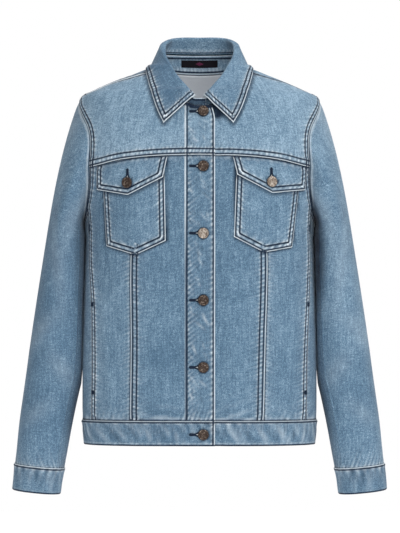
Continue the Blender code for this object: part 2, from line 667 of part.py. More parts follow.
def sleeve(side):
    """Rows of a whole sleeve, from the armhole to the cuff, and each column's armhole station."""
    stations = sleeve_turns()
    turn = stations * 2 * math.pi / ARMHOLE_STATIONS
    domain = np.array([armhole(at, at, 0, LEFT)[0] for at in stations])
    under = eased(-np.cos(turn) * UNDERARM_WIDTH)
    start = lifted(form(*domain.T), CLOTH + SEAM_GAP + UNDERARM_LIFT * under)
    first = ring(SLEEVE[0], turn, CLOTH)
    second = ring(SLEEVE[1], turn, CLOTH)
    length = np.linalg.norm(first - start, axis=1, keepdims=True)
    leave = np.stack([LEAVE_OUT + LEAVE_OUT_TURN * np.cos(turn), LEAVE_FORWARD_TURN * np.sin(turn),
                      LEAVE_DOWN + LEAVE_DOWN_TURN * np.cos(turn)], axis=1)
    leave /= np.linalg.norm(leave, axis=1, keepdims=True)
    arrive = (second - first) / np.linalg.norm(second - first, axis=1, keepdims=True)
    t = (np.arange(CAP_ROWS) / CAP_ROWS)[:, None, None]
    cap = ((2 * t ** 3 - 3 * t ** 2 + 1) * start + (t ** 3 - 2 * t ** 2 + t) * leave * length
           + (3 * t ** 2 - 2 * t ** 3) * first + (t ** 3 - t ** 2) * arrive * length)
    grid = np.concatenate([cap, [ring(row, turn, CLOTH) for row in SLEEVE]])
    out = np.stack([np.cos(turn), -np.sin(turn), np.zeros(len(turn))], axis=1)
    grid[1:-1] += (sleeve_creases(grid, turn)[..., None] * out)[1:-1]
    grid[2:] = cleared(grid[2:], SLEEVE_CLEARANCE)
    grid[-1] += (0, 0, SEAM_GAP)
    return grid * (side, 1, 1), stations


def sleeve_piece(side, first, last):
    """The columns of a sleeve from one station to another, past the shoulder tip if need be."""
    grid, stations = sleeve(side)
    order = np.argsort((stations - first) % ARMHOLE_STATIONS, kind="stable")
    count = int(np.sum((stations - first) % ARMHOLE_STATIONS <= (last - first) % ARMHOLE_STATIONS))
    return trimmed(grid[:, order[:count]], "lr")


def cuff(side):
    turn = sleeve_turns() * 2 * math.pi / ARMHOLE_STATIONS
    return np.array([ring(row, turn, DOUBLE) for row in CUFF]) * (side, 1, 1)


# ================================================================ neckband, collar and label
def collar_stations(columns):
    """The collar's table as smooth curves all round, from the right front to the left front."""
    at = np.linspace(0, len(COLLAR) - 1, COLLAR_HALF_COLUMNS + 1)
    half = np.stack([smooth(np.arange(len(COLLAR)), column, at) for column in COLLAR[:, columns].T], axis=1)
    return np.concatenate([half[:0:-1] * (-1, 1, 1), half])


def placket_room(points):
    """Extra height that whatever lies over the top of the placket needs."""
    x = points[..., 0]
    share = np.where(x < 0, eased((x + PLACKET_INNER + OVERLAP_EASE) / OVERLAP_EASE),
                     eased((REACH[RIGHT] - x) / ROOM_EASE))
    return np.where(points[..., 1] < 0, (OVERLAP_LIFT + DOUBLE - CLOTH) * share, 0)


def band_edges():
    """The neckband's bottom and top edges, at the collar's stations."""
    top = collar_stations(BAND_TOP)
    halves = []
    for side, half in ((RIGHT, top[:COLLAR_HALF_COLUMNS + 1]), (LEFT, top[:COLLAR_HALF_COLUMNS - 1:-1])):
        front = neck_front(side, 60)
        seam = joined(front[front[:, 0] * side > COLLAR[-1, 0]], neck_back(side, 60))
        halves.append(followed(seam, half))
    return lifted(joined(halves[0], halves[1][::-1]), SEAM_GAP), top


def neckband():
    """Inner face of the neckband, from the neck seam up to the collar.

    Its right end runs on over the placket, and its left end stops beside it.
    """
    edges = []
    for edge in band_edges():
        edge[-1, 0] = BAND_END_LEFT
        edges.append(np.concatenate([edge[:1] * (0, 1, 1) + (BAND_END_RIGHT, 0, 0), edge]))
    return np.array([edges[0] * (1 - t) + edges[1] * t for t in np.linspace(0, 1, BAND_ROWS)])


def collar():
    """Outer face of the folded collar: up from the band, over the fold and down its leaf."""
    bottom, top = band_edges()
    rise = top - bottom
    foot = top + BAND_GAP * rise / np.linalg.norm(rise, axis=1, keepdims=True)
    crest = collar_stations(FOLD_CREST)
    edge = collar_stations(LEAF_EDGE)
    share = np.linspace(1, 0, COLLAR_HALF_COLUMNS + 1)[:-1] ** TIP_SHIFT_POWER
    edge[:COLLAR_HALF_COLUMNS, 0] -= RIGHT_TIP_SHIFT * share
    up = np.array([0, 0, 1.0])
    out = np.cross(up, np.gradient(crest, axis=0))
    out /= np.linalg.norm(out, axis=1, keepdims=True)
    inner, outer = crest - FOLD_RADIUS * (out + up), crest + FOLD_RADIUS * (out - up)
    rows = [foot * (1 - t) + inner * t for t in (0, 0.5)]
    rows += [crest - FOLD_RADIUS * up + FOLD_RADIUS * (up * math.sin(a) - out * math.cos(a))
             for a in np.linspace(0, math.pi, 6)]
    for t in np.linspace(0, 1, 6)[1:]:
        point = outer * (1 - t) + edge * t + out * LEAF_BULGE * math.sin(math.pi * t)
        lift = LEAF_LIFT_TOP + (LEAF_LIFT_EDGE - LEAF_LIFT_TOP) * t ** 2 + placket_room(point)
        rows.append(cleared(point, lift))
    return np.array(rows)


def label():
    """Inner face of the label, on the inside of the neckband at the back."""
    band = neckband()
    near = np.abs(band[0, :, 0]) < LABEL_HALF_WIDTH + 14
    middle = band[:, near & (band[0, :, 1] > 0)]
    x = np.linspace(-LABEL_HALF_WIDTH, LABEL_HALF_WIDTH, 9)
    rows = []
    for share in LABEL_SHARE:
        line = middle[0] * (1 - share) + middle[-1] * share
        rows.append([[at, np.interp(at, line[:, 0], line[:, 1]), np.interp(at, line[:, 0], line[:, 2])]
                     for at in x])
    grid = np.array(rows)
    grid[..., 1] -= LABEL_THICK + 2 * SEAM_GAP
    return grid


# ================================================================ pockets and flaps
def patch(outline, rows, side):
    """Grid of a patch on the front: rows from its pointed lower edge up to its top edge."""
    outline = np.asarray(outline, float)
    half = POCKET_COLUMNS // 2
    low = joined(np.linspace(outline[INNER_LOW], outline[POINT], half + 1),
                 np.linspace(outline[POINT], outline[OUTER_LOW], half + 1))
    top = spread(outline[[INNER_TOP, TOP_MIDDLE, OUTER_TOP]], POCKET_COLUMNS)
    left = np.linspace(outline[INNER_LOW], outline[INNER_TOP], rows + 1)
    right = np.linspace(outline[OUTER_LOW], outline[OUTER_TOP], rows + 1)
    flat = coons(low, top, left, right)
    domain = place(flat.reshape(-1, 2), side).reshape(flat.shape)
    return form(domain[..., 0], domain[..., 1])


def chest_pocket(side):
    return lifted(patch(POCKET[side], POCKET_ROWS, side), CLOTH + PATCH_GAP)


def pocket_flap(side):
    """The flap lies on the pocket, and on the panel itself along its top edge."""
    grid = patch(FLAP[side], FLAP_ROWS, side)
    lift = np.full(grid.shape[:2], 2 * (CLOTH + PATCH_GAP))
    lift[-1] = CLOTH + PATCH_GAP
    return lifted(grid, lift)


# ================================================================ buttons
def button(name, x, z, lift):
    """A turned metal button, its axis square to the cloth that lies lift above the form."""
    profile = bmesh.new()
    corners = [profile.verts.new((radius * MM, 0, height * MM)) for radius, height in BUTTON_PROFILE]
    for first, second in zip(corners, corners[1:]):
        profile.edges.new((first, second))
    mesh = bpy.data.meshes.new(name)
    profile.to_mesh(mesh)
    profile.free()
    made = add_object(name, mesh, "button metal")
    turned = made.modifiers.new("turned", "SCREW")
    turned.axis = "Z"
    turned.steps = BUTTON_SIDES
    turned.render_steps = BUTTON_SIDES
    turned.use_merge_vertices = True
    turned.merge_threshold = 0.00005
    seat = form(*place([(abs(x), z)], RIGHT if x < 0 else LEFT).T)
    normal = form_normal(seat)[0]
    made.location = Vector((seat[0] + normal * lift) * MM)
    made.rotation_euler = Vector(normal).to_track_quat("Z", "Y").to_euler()
    return made


# ================================================================ assembly
def build():
    for old in list(bpy.data.objects):
        bpy.data.objects.remove(old)
    parts = bpy.data.collections.new("denim jacket")
    bpy.context.scene.collection.children.link(parts)

    for side, name in ((RIGHT, "right"), (LEFT, "left")):
        for piece, grid in (("front_centre", front_centre(side)), ("front_yoke", front_yoke(side))):
            cloth(f"{piece}_{name}", grid, DOUBLE, shares=placket_shares(grid, side))
        cloth(f"front_side_{name}", front_side(side))
        cloth(f"side_panel_{name}", side_panel(side))
        cloth(f"back_side_{name}", back_side(side))
        top = sleeve_piece(side, BACK_YOKE_END, POCKET_END)
        cloth(f"sleeve_top_{name}", top, facing=side)
        cloth(f"sleeve_under_{name}", sleeve_piece(side, POCKET_END, BACK_YOKE_END), facing=side)
        cloth(f"cuff_{name}", cuff(side), DOUBLE, closed=True, facing=side)
        cloth(f"chest_pocket_{name}", chest_pocket(side))
        cloth(f"pocket_flap_{name}", pocket_flap(side), DOUBLE)
        x, z = FLAP_BUTTON[side]
        button(f"flap_button_{name}", side * x, z, 2 * (CLOTH + PATCH_GAP) + DOUBLE)
    cloth("back_centre", back_centre())
    cloth("back_yoke", back_yoke())
    cloth("waistband", waistband(), DOUBLE)
    cloth("neckband", neckband(), DOUBLE, facing=-1)
    cloth("collar", collar(), COLLAR_WALL, facing=1, inwards=True)
    cloth("neck_label", label(), LABEL_THICK, facing=-1, finish="label")
    for number, z in enumerate(BUTTON_Z, start=1):
        button(f"button_front_{number}", CENTRE_FRONT_X, z, OVERLAP_LIFT + DOUBLE)


build()
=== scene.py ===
"""A denim jacket, filled out as if worn: washed cloth over its solids, stitched and buttoned.

Every piece of cloth is a grid laid on the surface that its solid follows. Folded edges, stitch
rows, puckers and soft folds are heights added to that grid, and three values at each point say how
worn, how dark and how faded the cloth is there; besides real wear and tone they carry painted
highlights, painted shadow, painted shade and painted light. X is the wearer's left, -Y the front and +Z up.
"""

import json
import logging
import math
from collections.abc import Callable, Iterable
from dataclasses import dataclass, field, replace
from enum import Enum

import bpy
import numpy as np
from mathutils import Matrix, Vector

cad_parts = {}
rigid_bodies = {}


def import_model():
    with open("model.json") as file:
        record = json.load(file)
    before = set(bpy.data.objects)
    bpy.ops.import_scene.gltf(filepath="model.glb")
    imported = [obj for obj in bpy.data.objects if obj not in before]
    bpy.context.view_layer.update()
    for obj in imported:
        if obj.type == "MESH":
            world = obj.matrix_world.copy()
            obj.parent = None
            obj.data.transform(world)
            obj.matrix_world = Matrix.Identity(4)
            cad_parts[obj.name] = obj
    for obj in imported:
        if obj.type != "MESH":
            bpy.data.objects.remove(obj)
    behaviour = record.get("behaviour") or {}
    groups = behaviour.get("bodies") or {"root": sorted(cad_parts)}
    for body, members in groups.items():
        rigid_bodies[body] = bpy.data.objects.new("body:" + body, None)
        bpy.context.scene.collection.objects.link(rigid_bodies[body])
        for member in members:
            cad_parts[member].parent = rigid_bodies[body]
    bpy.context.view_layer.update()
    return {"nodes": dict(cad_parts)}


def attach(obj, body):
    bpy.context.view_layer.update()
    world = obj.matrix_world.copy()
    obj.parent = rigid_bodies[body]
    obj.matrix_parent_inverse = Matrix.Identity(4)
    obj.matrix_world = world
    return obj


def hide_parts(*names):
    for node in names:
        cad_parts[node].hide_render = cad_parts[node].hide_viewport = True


Array = np.ndarray
Socket = bpy.types.NodeSocket
Colour = tuple[float, float, float, float]
Pair = tuple[float, float]
log = logging.getLogger("jacket")

MM = 0.001
CLOTH = 1.2  # one layer of denim
DOUBLE = 2.4  # two layers, as in a cuff, a waistband or a placket
SEAM_GAP = 0.3
RIGHT, LEFT = -1, 1  # the wearer's sides, as signs of X

# ---------------------------------------------------------------- the form under the cloth
SQUARENESS = 2.5  # exponent of every horizontal section: 2 is an ellipse
# level, height z, half width, depth in front, depth behind, y of the middle
FORM = np.array([
    (0, -591, 182.6, 117, 112, 0),
    (40, -551, 185.2, 118, 113, 0),
    (111, -480, 185.5, 119, 113, 0),
    (211, -380, 184.6, 120, 112, 0),
    (291, -300, 182.2, 122, 111, 0),
    (357, -234, 180.0, 122, 110, 0),
    (411, -180, 186.0, 119, 107, 0),
    (451, -140, 192.0, 114, 103, 0),
    (491, -101, 194.5, 106, 98, 0),
    (531, -61, 193.5, 95, 90, 1),
    (553, -39.5, 189.5, 87, 83, 2),
    (580, -28, 166.0, 76, 76, 3),
    (612, -15, 137.0, 64, 68, 4),
    (646, -2, 105.0, 52, 60, 5),
    (663, 4.6, 89.0, 46, 56, 5),
    (683, 10.4, 70.0, 38, 50, 5),
    (700, 14.4, 56.0, 32, 44, 5),
], float)
LEVEL, HEIGHT, HALF_WIDTH, FRONT, BACK, MIDDLE = range(6)
TIP_ROW, UNDERARM_ROW = 10, 5  # rows of FORM at the shoulder tip and under the arm
ARCH_FOOT_Z = -160.0  # the yokes are measured by the angle about this height
ARCH_REACH, ARCH_HALVINGS = 320.0, 50  # how far from there a section is looked for, and how often halved
RADIAN_LENGTH = 150  # mm of level that a radian counts for where a curve is divided evenly

# ---------------------------------------------------------------- seams, as (x, z) seen from the front
HEM_RISE = 5.0  # the hem and the waist seam rise this much at the centre front
WAIST_LEVEL = 39.0
WAIST_Z = -550.0
CENTRE_FRONT_X = 6.0  # the line of the buttons
REACH = {RIGHT: 24.0, LEFT: 14.0}  # how far each front passes the middle; the right one lies on top
PLACKET_INNER = 22.0  # the doubled placket's inner edge, on the right front
OVERLAP_LIFT, OVERLAP_EASE = 1.2, 16.0  # the right front stands this proud, reached over this width
UNDERLAP_DROP, UNDERLAP_EASE = 2.2, 20.0  # and the left front drops this far to pass under it
UNDERLAP_ROOM = 22.0  # the drop starts this far outside the right front's edge
CORNER_CUT, CORNER_Z = 6.0, -82.0  # the right front's top corner is rounded off above this height
EDGE_HEIGHTS = [WAIST_Z, -440.0, -340.0, -240.0]  # where the fronts' free edges are held straight
YOKE_SEAM = [(0, -135.5), (60, -136.2), (100, -139), (130, -143), (152, -148)]
PRINCESS = {RIGHT: [(107, -545), (106, -420), (106, -290), (104, -137)],
            LEFT: [(99, -545), (102, -420), (104.5, -290), (104, -137)]}
POCKET_SEAM = {RIGHT: [(168, -546), (167.5, -430), (168.4, -368), (172, -300)],
               LEFT: [(166, -546), (168.5, -430), (171, -368), (173, -300)]}
BACK_YOKE_SEAM = [(0, -126), (60, -127), (120, -131)]
BACK_PRINCESS = [(68, -551), (76, -420), (86, -270), (94, -129)]
BACK_SIDE_SEAM = [(163, -551), (166, -420), (170, -300)]
NECK_FRONT = [(0, -57), (12, -55.5), (23, -50.5), (33, -42), (42, -30.5), (50, -18), (57, -7.5)]
NECK_BACK = [(63, 7.8), (50, 5.4), (30, 3.4), (0, 2.4)]
NECK_RIDGE_Z = 11.4  # where the neck curve crosses the ridge of the shoulders
SHOULDER_SEAM = [(62.5, -0.8), (84, -3), (116, -11.4), (139, -18), (168, -30)]
# the armhole from the shoulder tip down the front, under the arm and up the back
ARMHOLE_FRONT = [(175.7, -85), (170.6, -152), (175.0, -213)]
ARMHOLE_BACK = [(177.5, -211), (178.0, -140), (183.0, -84)]
TIP, YOKE_END, POCKET_END, SIDE_END, BACK_YOKE_END = 0, 2, 3, 5, 6
ARMHOLE_STATIONS = 8

# ---------------------------------------------------------------- sleeves and cuffs
# height z, outer x, inner x, half depth, middle y
SLEEVE = np.array([
    (-262, 244.2, 180.0, 73, 2),
    (-305, 251.0, 179.0, 70, 0),
    (-350, 258.0, 180.0, 65, -2),
    (-400, 265.5, 181.0, 59.5, -4),
    (-450, 272.4, 183.0, 54, -6),
    (-480, 276.6, 185.5, 51, -6),
    (-510, 280.8, 192.6, 47.5, -7),
    (-560, 287.4, 203.5, 43.5, -8),
    (-600, 291.2, 211.0, 40.5, -9),
    (-626, 293.8, 216.0, 39, -10),
], float)
CUFF = np.array([
    (-626, 294.6, 215.4, 39.8, -10),
    (-646, 296.6, 218.8, 39.2, -10.5),
    (-666, 298.4, 221.6, 38.6, -11),
], float)
SLEEVE_SQUARENESS = 2.3
CUFF_TILT = 8.0  # the inner end of a ring at the wrist lies this much lower than the outer end
TILT_TOP_Z, TILT_FULL_Z = -480.0, -626.0
UNDERARM_ROOM, UNDERARM_WIDTH = 0.6, 1.4  # extra height under the arm, and how soon it is reached: 1 is slow
# the way the sleeve leaves the armhole: out, forwards and down, and what the turn adds to each
LEAVE_OUT, LEAVE_OUT_TURN = 0.55, -0.21
LEAVE_FORWARD_TURN = -0.35
LEAVE_DOWN, LEAVE_DOWN_TURN = -0.75, -0.15
# soft folds: turn from the outer end in degrees, height z, half width in degrees, half length,
# lean in degrees over the half length, and how far the fold stands out
SLEEVE_FOLDS = np.array([
    (112, -205, 16, 75, 10, 3.0),
    (84, -300, 14, 70, -16, 2.2),
    (60, -410, 22, 30, 24, 2.5),
    (108, -470, 20, 26, -20, 2.5),
    (70, -540, 24, 22, 18, 2.0),
    (285, -330, 20, 55, 16, 2.6),
    (262, -440, 24, 30, -22, 2.8),
    (300, -520, 24, 26, 18, 2.2),
], float)

# ---------------------------------------------------------------- collar, neckband and label
# Stations from the centre back to the front end. At each: the top of the neckband, the crest of the
# fold on which the collar turns, and the outer edge of its leaf.
COLLAR = np.array([
    # band top      fold crest         leaf edge
    (0, 67, 35.5, 0, 70, 65.5, 0, 75, -8),
    (24, 65, 35.5, 27, 68, 65.5, 32, 74, -8),
    (45, 55, 35, 47, 56, 62, 59, 67, -6),
    (58, 34, 33, 58, 33, 55, 76, 42, 0),
    (63.5, 8, 25.5, 61, 6, 46.5, 84, 10, 6),
    (61, -18, 13.5, 57, -20, 32, 85, -25, -3),
    (55.5, -43, -0.5, 48, -45, 14, 82, -57, -14),
    (44.5, -63.5, -16.5, 37, -65, -5, 77, -75, -30),
    (29.5, -79.5, -32, 23, -81, -22, 71, -90, -47.5),
    (15, -86, -42, 13, -89, -33, 63, -98, -67),
    (7, -89.5, -46, 7, -93, -40, 53, -104, -84.5),
], float)
BAND_TOP, FOLD_CREST, LEAF_EDGE = slice(0, 3), slice(3, 6), slice(6, 9)
RIGHT_TIP_SHIFT = 3.0  # the right collar tip lies this much further out than the left one
TIP_SHIFT_POWER = 6  # how soon that fades away from the tip
COLLAR_WALL = 2.2
FOLD_RADIUS = 3.0
CORNER_ROLL = 5.0  # the fold is this much wider at the two back corners
LEAF_BULGE = 0.6
LEAF_LIFT_TOP, LEAF_LIFT_EDGE = 7.6, 4.1  # the leaf's outer face above the form
BAND_END_RIGHT, BAND_END_LEFT = 9.7, 9.8  # the two ends of the neckband nearly meet, at these x
BAND_GAP = 2.0  # the collar stands this much above the neckband
BAND_ROOM = 4.2  # the yokes stop this far from the neck curve, which leaves room for the band's wall
ROOM_EASE = 10.0  # the collar comes down from the placket's edge over this width
LABEL_HALF_WIDTH, LABEL_THICK = 29.5, 0.7
LABEL_SHARE = (0.385, 0.755)  # where the label lies on the height of the neckband

# ---------------------------------------------------------------- pockets
# corners as (|x|, z), from the inner top one down and round
FLAP = {RIGHT: [(49.5, -137.2), (56, -170), (110, -197), (157.5, -188), (158.5, -151), (104, -141)],
        LEFT: [(51.5, -137.2), (58, -166), (112, -194), (162.5, -188), (165.5, -152), (108, -141)]}
POCKET = {RIGHT: [(54, -160), (52, -268), (99, -290), (144, -276), (150, -168), (102, -164)],
          LEFT: [(57, -160), (53, -262), (99.5, -286), (143.5, -278), (156, -168), (106, -164)]}
INNER_TOP, INNER_LOW, POINT, OUTER_LOW, OUTER_TOP, TOP_MIDDLE = range(6)
# ---------------------------------------------------------------- buttons
BUTTON_Z = [-66.5, -152.5, -256.5, -360.0, -464.0, -568.0]
FLAP_BUTTON = {RIGHT: (112.0, -178.0), LEFT: (112.0, -176.5)}
# radius and height of a button's outline, from the middle of its face to its underside
BUTTON_FACE = [(0.5, 2.75), (2.6, 2.65), (3.3, 2.35), (3.8, 2.85), (4.4, 2.95), (4.9, 2.4), (5.5, 2.35),
               (6.1, 3.1), (6.8, 3.65), (7.5, 3.55), (8.1, 3.1), (8.35, 2.4), (8.3, 1.6), (7.6, 0.9),
               (5.0, 0.4)]


# ================================================================ the form under the cloth
def unit(values: Array) -> Array:
    """The values, held between 0 and 1."""
    return np.clip(values, 0, 1)


def above(values: Array) -> Array:
    """The values, none below 0."""
    return np.maximum(values, 0)


def direction(vectors: Array) -> Array:
    """The vectors brought to unit length."""
    return vectors / np.maximum(np.linalg.norm(vectors, axis=-1, keepdims=True), 1e-9)


def read(at: Array, keys: Array, table: Array) -> Array:
    """A table's columns at some places, by straight lines between the keys of its rows."""
    return np.stack([np.interp(at, keys, column) for column in table.T], axis=-1)


def run_length(points: Array, axis: int = 0) -> Array:
    """Length run along an axis of a line or grid of points."""
    steps = np.linalg.norm(np.diff(points, axis=axis), axis=-1)
    return np.concatenate([np.zeros_like(steps.take([0], axis)), np.cumsum(steps, axis=axis)], axis=axis)


def smooth(keys: Array, values: Array, at: Array) -> Array:
    """Cubic curve through (keys, values), with slopes taken from each point's neighbours.

    Args:
        keys, values: the points it passes through, keys rising.
        at: where it is read.

    Returns:
        Its values there.
    """
    keys, values, at = (np.asarray(a, float) for a in (keys, values, at))
    slopes = np.gradient(values, keys)
    i = np.clip(np.searchsorted(keys, at, side="right") - 1, 0, len(keys) - 2)
    span = keys[i + 1] - keys[i]
    u = (at - keys[i]) / span
    return ((1 + 2 * u) * (1 - u) ** 2 * values[i] + u * (1 - u) ** 2 * span * slopes[i]
            + u * u * (3 - 2 * u) * values[i + 1] - u * u * (1 - u) * span * slopes[i + 1])


def section_scale(angle: Array) -> Array:
    """The factor that turns an ellipse's point into the section's."""
    return (np.abs(np.sin(angle)) ** SQUARENESS + np.abs(np.cos(angle)) ** SQUARENESS) ** (-1 / SQUARENESS)


FINE_LEVELS = np.linspace(FORM[0, LEVEL], FORM[-1, LEVEL], 2400)
FINE = {column: smooth(FORM[:, LEVEL], FORM[:, column], FINE_LEVELS)
        for column in (HEIGHT, HALF_WIDTH, FRONT, BACK, MIDDLE)}
FINE_ANGLES = np.linspace(0, math.pi / 2, 1200)
FINE_SHARES = np.sin(FINE_ANGLES) * section_scale(FINE_ANGLES)


def by_level(column: int, level: Array) -> Array:
    """A column of FORM at levels."""
    return np.interp(level, FINE_LEVELS, FINE[column])


def by_height(column: int, z: Array) -> Array:
    """A column of FORM at heights."""
    return np.interp(z, FINE[HEIGHT], FINE[column])


def level_of(z: Array) -> Array:
    """Levels of heights."""
    return np.interp(z, FINE[HEIGHT], FINE_LEVELS)


def form(angle: Array, level: Array) -> Array:
    """Points of the form: angle is 0 at the centre front, 90 degrees at the wearer's left side.

    Args:
        angle, level: places on the form.

    Returns:
        The points there.
    """
    angle, level = np.broadcast_arrays(np.asarray(angle, float), np.asarray(level, float))
    depth = np.where(np.cos(angle) > 0, by_level(FRONT, level), by_level(BACK, level))
    scale = section_scale(angle)
    return np.stack([by_level(HALF_WIDTH, level) * np.sin(angle) * scale,
                     by_level(MIDDLE, level) - depth * np.cos(angle) * scale, by_level(HEIGHT, level)],
                    axis=-1)


def place(points: Array, side: int, behind: bool = False) -> Array:
    """(angle, level) of points given as (|x|, z) on the front of the form, or on its back.

    Args:
        points: the pairs.
        side: RIGHT or LEFT.
        behind: whether on the form's back.

    Returns:
        A pair for each.
    """
    points = np.asarray(points, float)
    level = level_of(points[:, 1])
    share = points[:, 0] / by_level(HALF_WIDTH, level)
    angle = np.interp(np.abs(share), FINE_SHARES, FINE_ANGLES) * np.where(share < 0, -1, 1)
    return np.stack([side * (math.pi - angle if behind else angle), level], axis=1)


def arch(x: Array, turn: Array) -> Array:
    """Points of the form by x and by the angle over the shoulder: 0 in front, 90 degrees on the ridge.

    A ray leaves the form's middle at ARCH_FOOT_Z in the plane of that x, and halving finds
    where it leaves the section.

    Args:
        x, turn: places on the form.

    Returns:
        The points there.
    """
    x, turn = np.broadcast_arrays(np.asarray(x, float), np.asarray(turn, float))
    near, far = np.zeros(x.shape), np.full(x.shape, ARCH_REACH)
    for _ in range(ARCH_HALVINGS):
        reach = (near + far) / 2
        z = ARCH_FOOT_Z + reach * np.sin(turn)
        y = by_height(MIDDLE, ARCH_FOOT_Z) - reach * np.cos(turn)
        off = y - by_height(MIDDLE, z)
        depth = np.where(off < 0, by_height(FRONT, z), by_height(BACK, z))
        inside = ((np.abs(x) / by_height(HALF_WIDTH, z)) ** SQUARENESS
                  + (np.abs(off) / depth) ** SQUARENESS < 1) & (z < FORM[-1, HEIGHT])
        near, far = np.where(inside, reach, near), np.where(inside, far, reach)
    return np.stack([x, y, z], axis=-1)


def arch_place(points: Array) -> Array:
    """(x, angle over the shoulder) of points on the form."""
    return np.stack([points[:, 0], np.arctan2(points[:, 2] - ARCH_FOOT_Z,
                                              by_height(MIDDLE, ARCH_FOOT_Z) - points[:, 1])], axis=1)


def form_value(points: Array) -> Array:
    """1 on the form, less inside it and more outside.

    Args:
        points: any points.

    Returns:
        A value for each.
    """
    x, y, z = np.moveaxis(points, -1, 0)
    off = y - by_height(MIDDLE, z)
    depth = np.where(off < 0, by_height(FRONT, z), by_height(BACK, z))
    return ((np.abs(x) / by_height(HALF_WIDTH, z)) ** SQUARENESS
            + (np.abs(off) / depth) ** SQUARENESS) ** (1 / SQUARENESS)


def form_slope(points: Array, step: float = 0.5) -> Array:
    """How fast form_value changes along x, y and z."""
    slopes = [form_value(points + step * axis) - form_value(points - step * axis) for axis in np.eye(3)]
    return np.stack(slopes, axis=-1) / (2 * step)


def form_normal(points: Array) -> Array:
    """Directions straight out of the form."""
    return direction(form_slope(points))


def lifted(points: Array, lift: Array) -> Array:
    """The points moved out of the form by lift, a number or one for each point."""
    return points + form_normal(points) * np.broadcast_to(lift, points.shape[:-1])[..., None]


def cleared(points: Array, lift: Array) -> Array:
    """The points, those nearer to the form than lift moved out to that distance.

    Args:
        points: any points.
        lift: the least distance, one for all or for each.

    Returns:
        The points as they end up.
    """
    lift = np.broadcast_to(lift, points.shape[:-1])
    for _ in range(8):
        slope = form_slope(points)
        size = np.linalg.norm(slope, axis=-1)
        short = above(lift - (form_value(points) - 1) / size)
        short = np.where(points[..., 2] < FORM[-1, HEIGHT] - 2, short, 0)
        points = points + slope / size[..., None] * short[..., None]
    return points


def onto_form(points: Array) -> Array:
    """The points brought back to the form by a few short steps.

    Args:
        points: points near the form.

    Returns:
        Points on it.
    """
    for _ in range(5):
        slope = form_slope(points)
        square = (slope ** 2).sum(axis=-1, keepdims=True)
        points = points - slope * ((form_value(points) - 1)[..., None] / square)
    return points


def spread(points: Array, count: int) -> Array:
    """count steps along a smooth curve through the points, evenly spaced on it.

    Args:
        points: what the curve passes through.
        count: the number of steps.

    Returns:
        count + 1 points.
    """
    points = np.asarray(points, float)
    along = run_length(points)
    fine = np.linspace(0, along[-1], 60 * len(points))
    line = np.stack([smooth(along, column, fine) for column in points.T], axis=1)
    run = run_length(line)
    at = np.linspace(0, run[-1], count + 1)
    return read(at, run, line)


def spread_domain(points: Array, count: int) -> Array:
    """spread for (angle, level) points, which weighs a radian as RADIAN_LENGTH mm of level."""
    return spread(np.asarray(points) * (RADIAN_LENGTH, 1), count) / (RADIAN_LENGTH, 1)


def followed(curve: Array, guide: Array) -> Array:
    """Points along a curve at the same shares of its length as the guide's points have of its own.

    Args:
        curve: the curve that is read.
        guide: the line whose spacing it takes.

    Returns:
        A point for each of the guide's.
    """
    runs = run_length(curve), run_length(guide)
    at = runs[1] * runs[0][-1] / runs[1][-1]
    return read(at, runs[0], curve)


def joined(*curves: Array) -> Array:
    """Curves end to end, each shared end once."""
    return np.concatenate([curves[0]] + [curve[1:] for curve in curves[1:]])


def armhole(first: float, last: float, steps: int, side: int) -> Array:
    """(angle, level) along the armhole between two of its stations, which a closed curve joins.

    Args:
        first, last: the two stations.
        steps: steps between them.
        side: RIGHT or LEFT.

    Returns:
        steps + 1 pairs.
    """
    stations = np.concatenate([[(math.pi / 2, FORM[TIP_ROW, LEVEL])], place(ARMHOLE_FRONT, LEFT),
                               [(math.pi / 2, FORM[UNDERARM_ROW, LEVEL])],
                               place(ARMHOLE_BACK, LEFT, behind=True)])
    turns = np.tile(stations, (3, 1))
    keys = np.arange(len(turns)) - ARMHOLE_STATIONS
    at = np.linspace(first, last, steps + 1)
    return np.stack([side * smooth(keys, turns[:, 0], at), smooth(keys, turns[:, 1], at)], axis=1)


def eased(share: Array) -> Array:
    """0 up to 0, 1 from 1, and smooth between."""
    share = unit(share)
    return share * share * (3 - 2 * share)


def ring(table: Array, z: float, turn: Array) -> Array:
    """Points round a sleeve or cuff at a height, by the turn from the outer end.

    Args:
        table: SLEEVE or CUFF.
        z: the height.
        turn: turns from the outer end.

    Returns:
        A point for each turn.
    """
    outer, inner, depth, middle = (smooth(-table[:, 0], column, -z) for column in table[:, 1:].T)
    around = SLEEVE_SQUARENESS
    scale = (np.abs(np.cos(turn)) ** around + np.abs(np.sin(turn)) ** around) ** (-1 / around)
    tilt = CUFF_TILT / 2 * eased((TILT_TOP_Z - z) / (TILT_TOP_Z - TILT_FULL_Z))
    x = (outer + inner) / 2 + (outer - inner) / 2 * np.cos(turn) * scale
    y = middle - depth * np.sin(turn) * scale
    return np.stack([x, y, z + tilt * np.cos(turn)], axis=-1)


def grid_normals(grid: Array) -> Array:
    """Unit normals of a grid of points, from the steps along its rows and columns."""
    return direction(np.cross(np.gradient(grid, axis=1), np.gradient(grid, axis=0)))


# ================================================================ grids of cloth
class Edge(Enum):
    """The four edges of a piece's grid: its first and last column, its first and last row."""

    START = "start"
    END = "end"
    LOW = "low"
    HIGH = "high"


EVERYWHERE = (-1e6, 1e6)  # a part that takes in the whole of any edge
PART_EASE = 6.0


def within(at: Array, part: Pair) -> Array:
    """1 in a part of an edge and 0 outside it, eased over PART_EASE mm."""
    return eased((at - part[0]) / PART_EASE + 0.5) * eased((part[1] - at) / PART_EASE + 0.5)


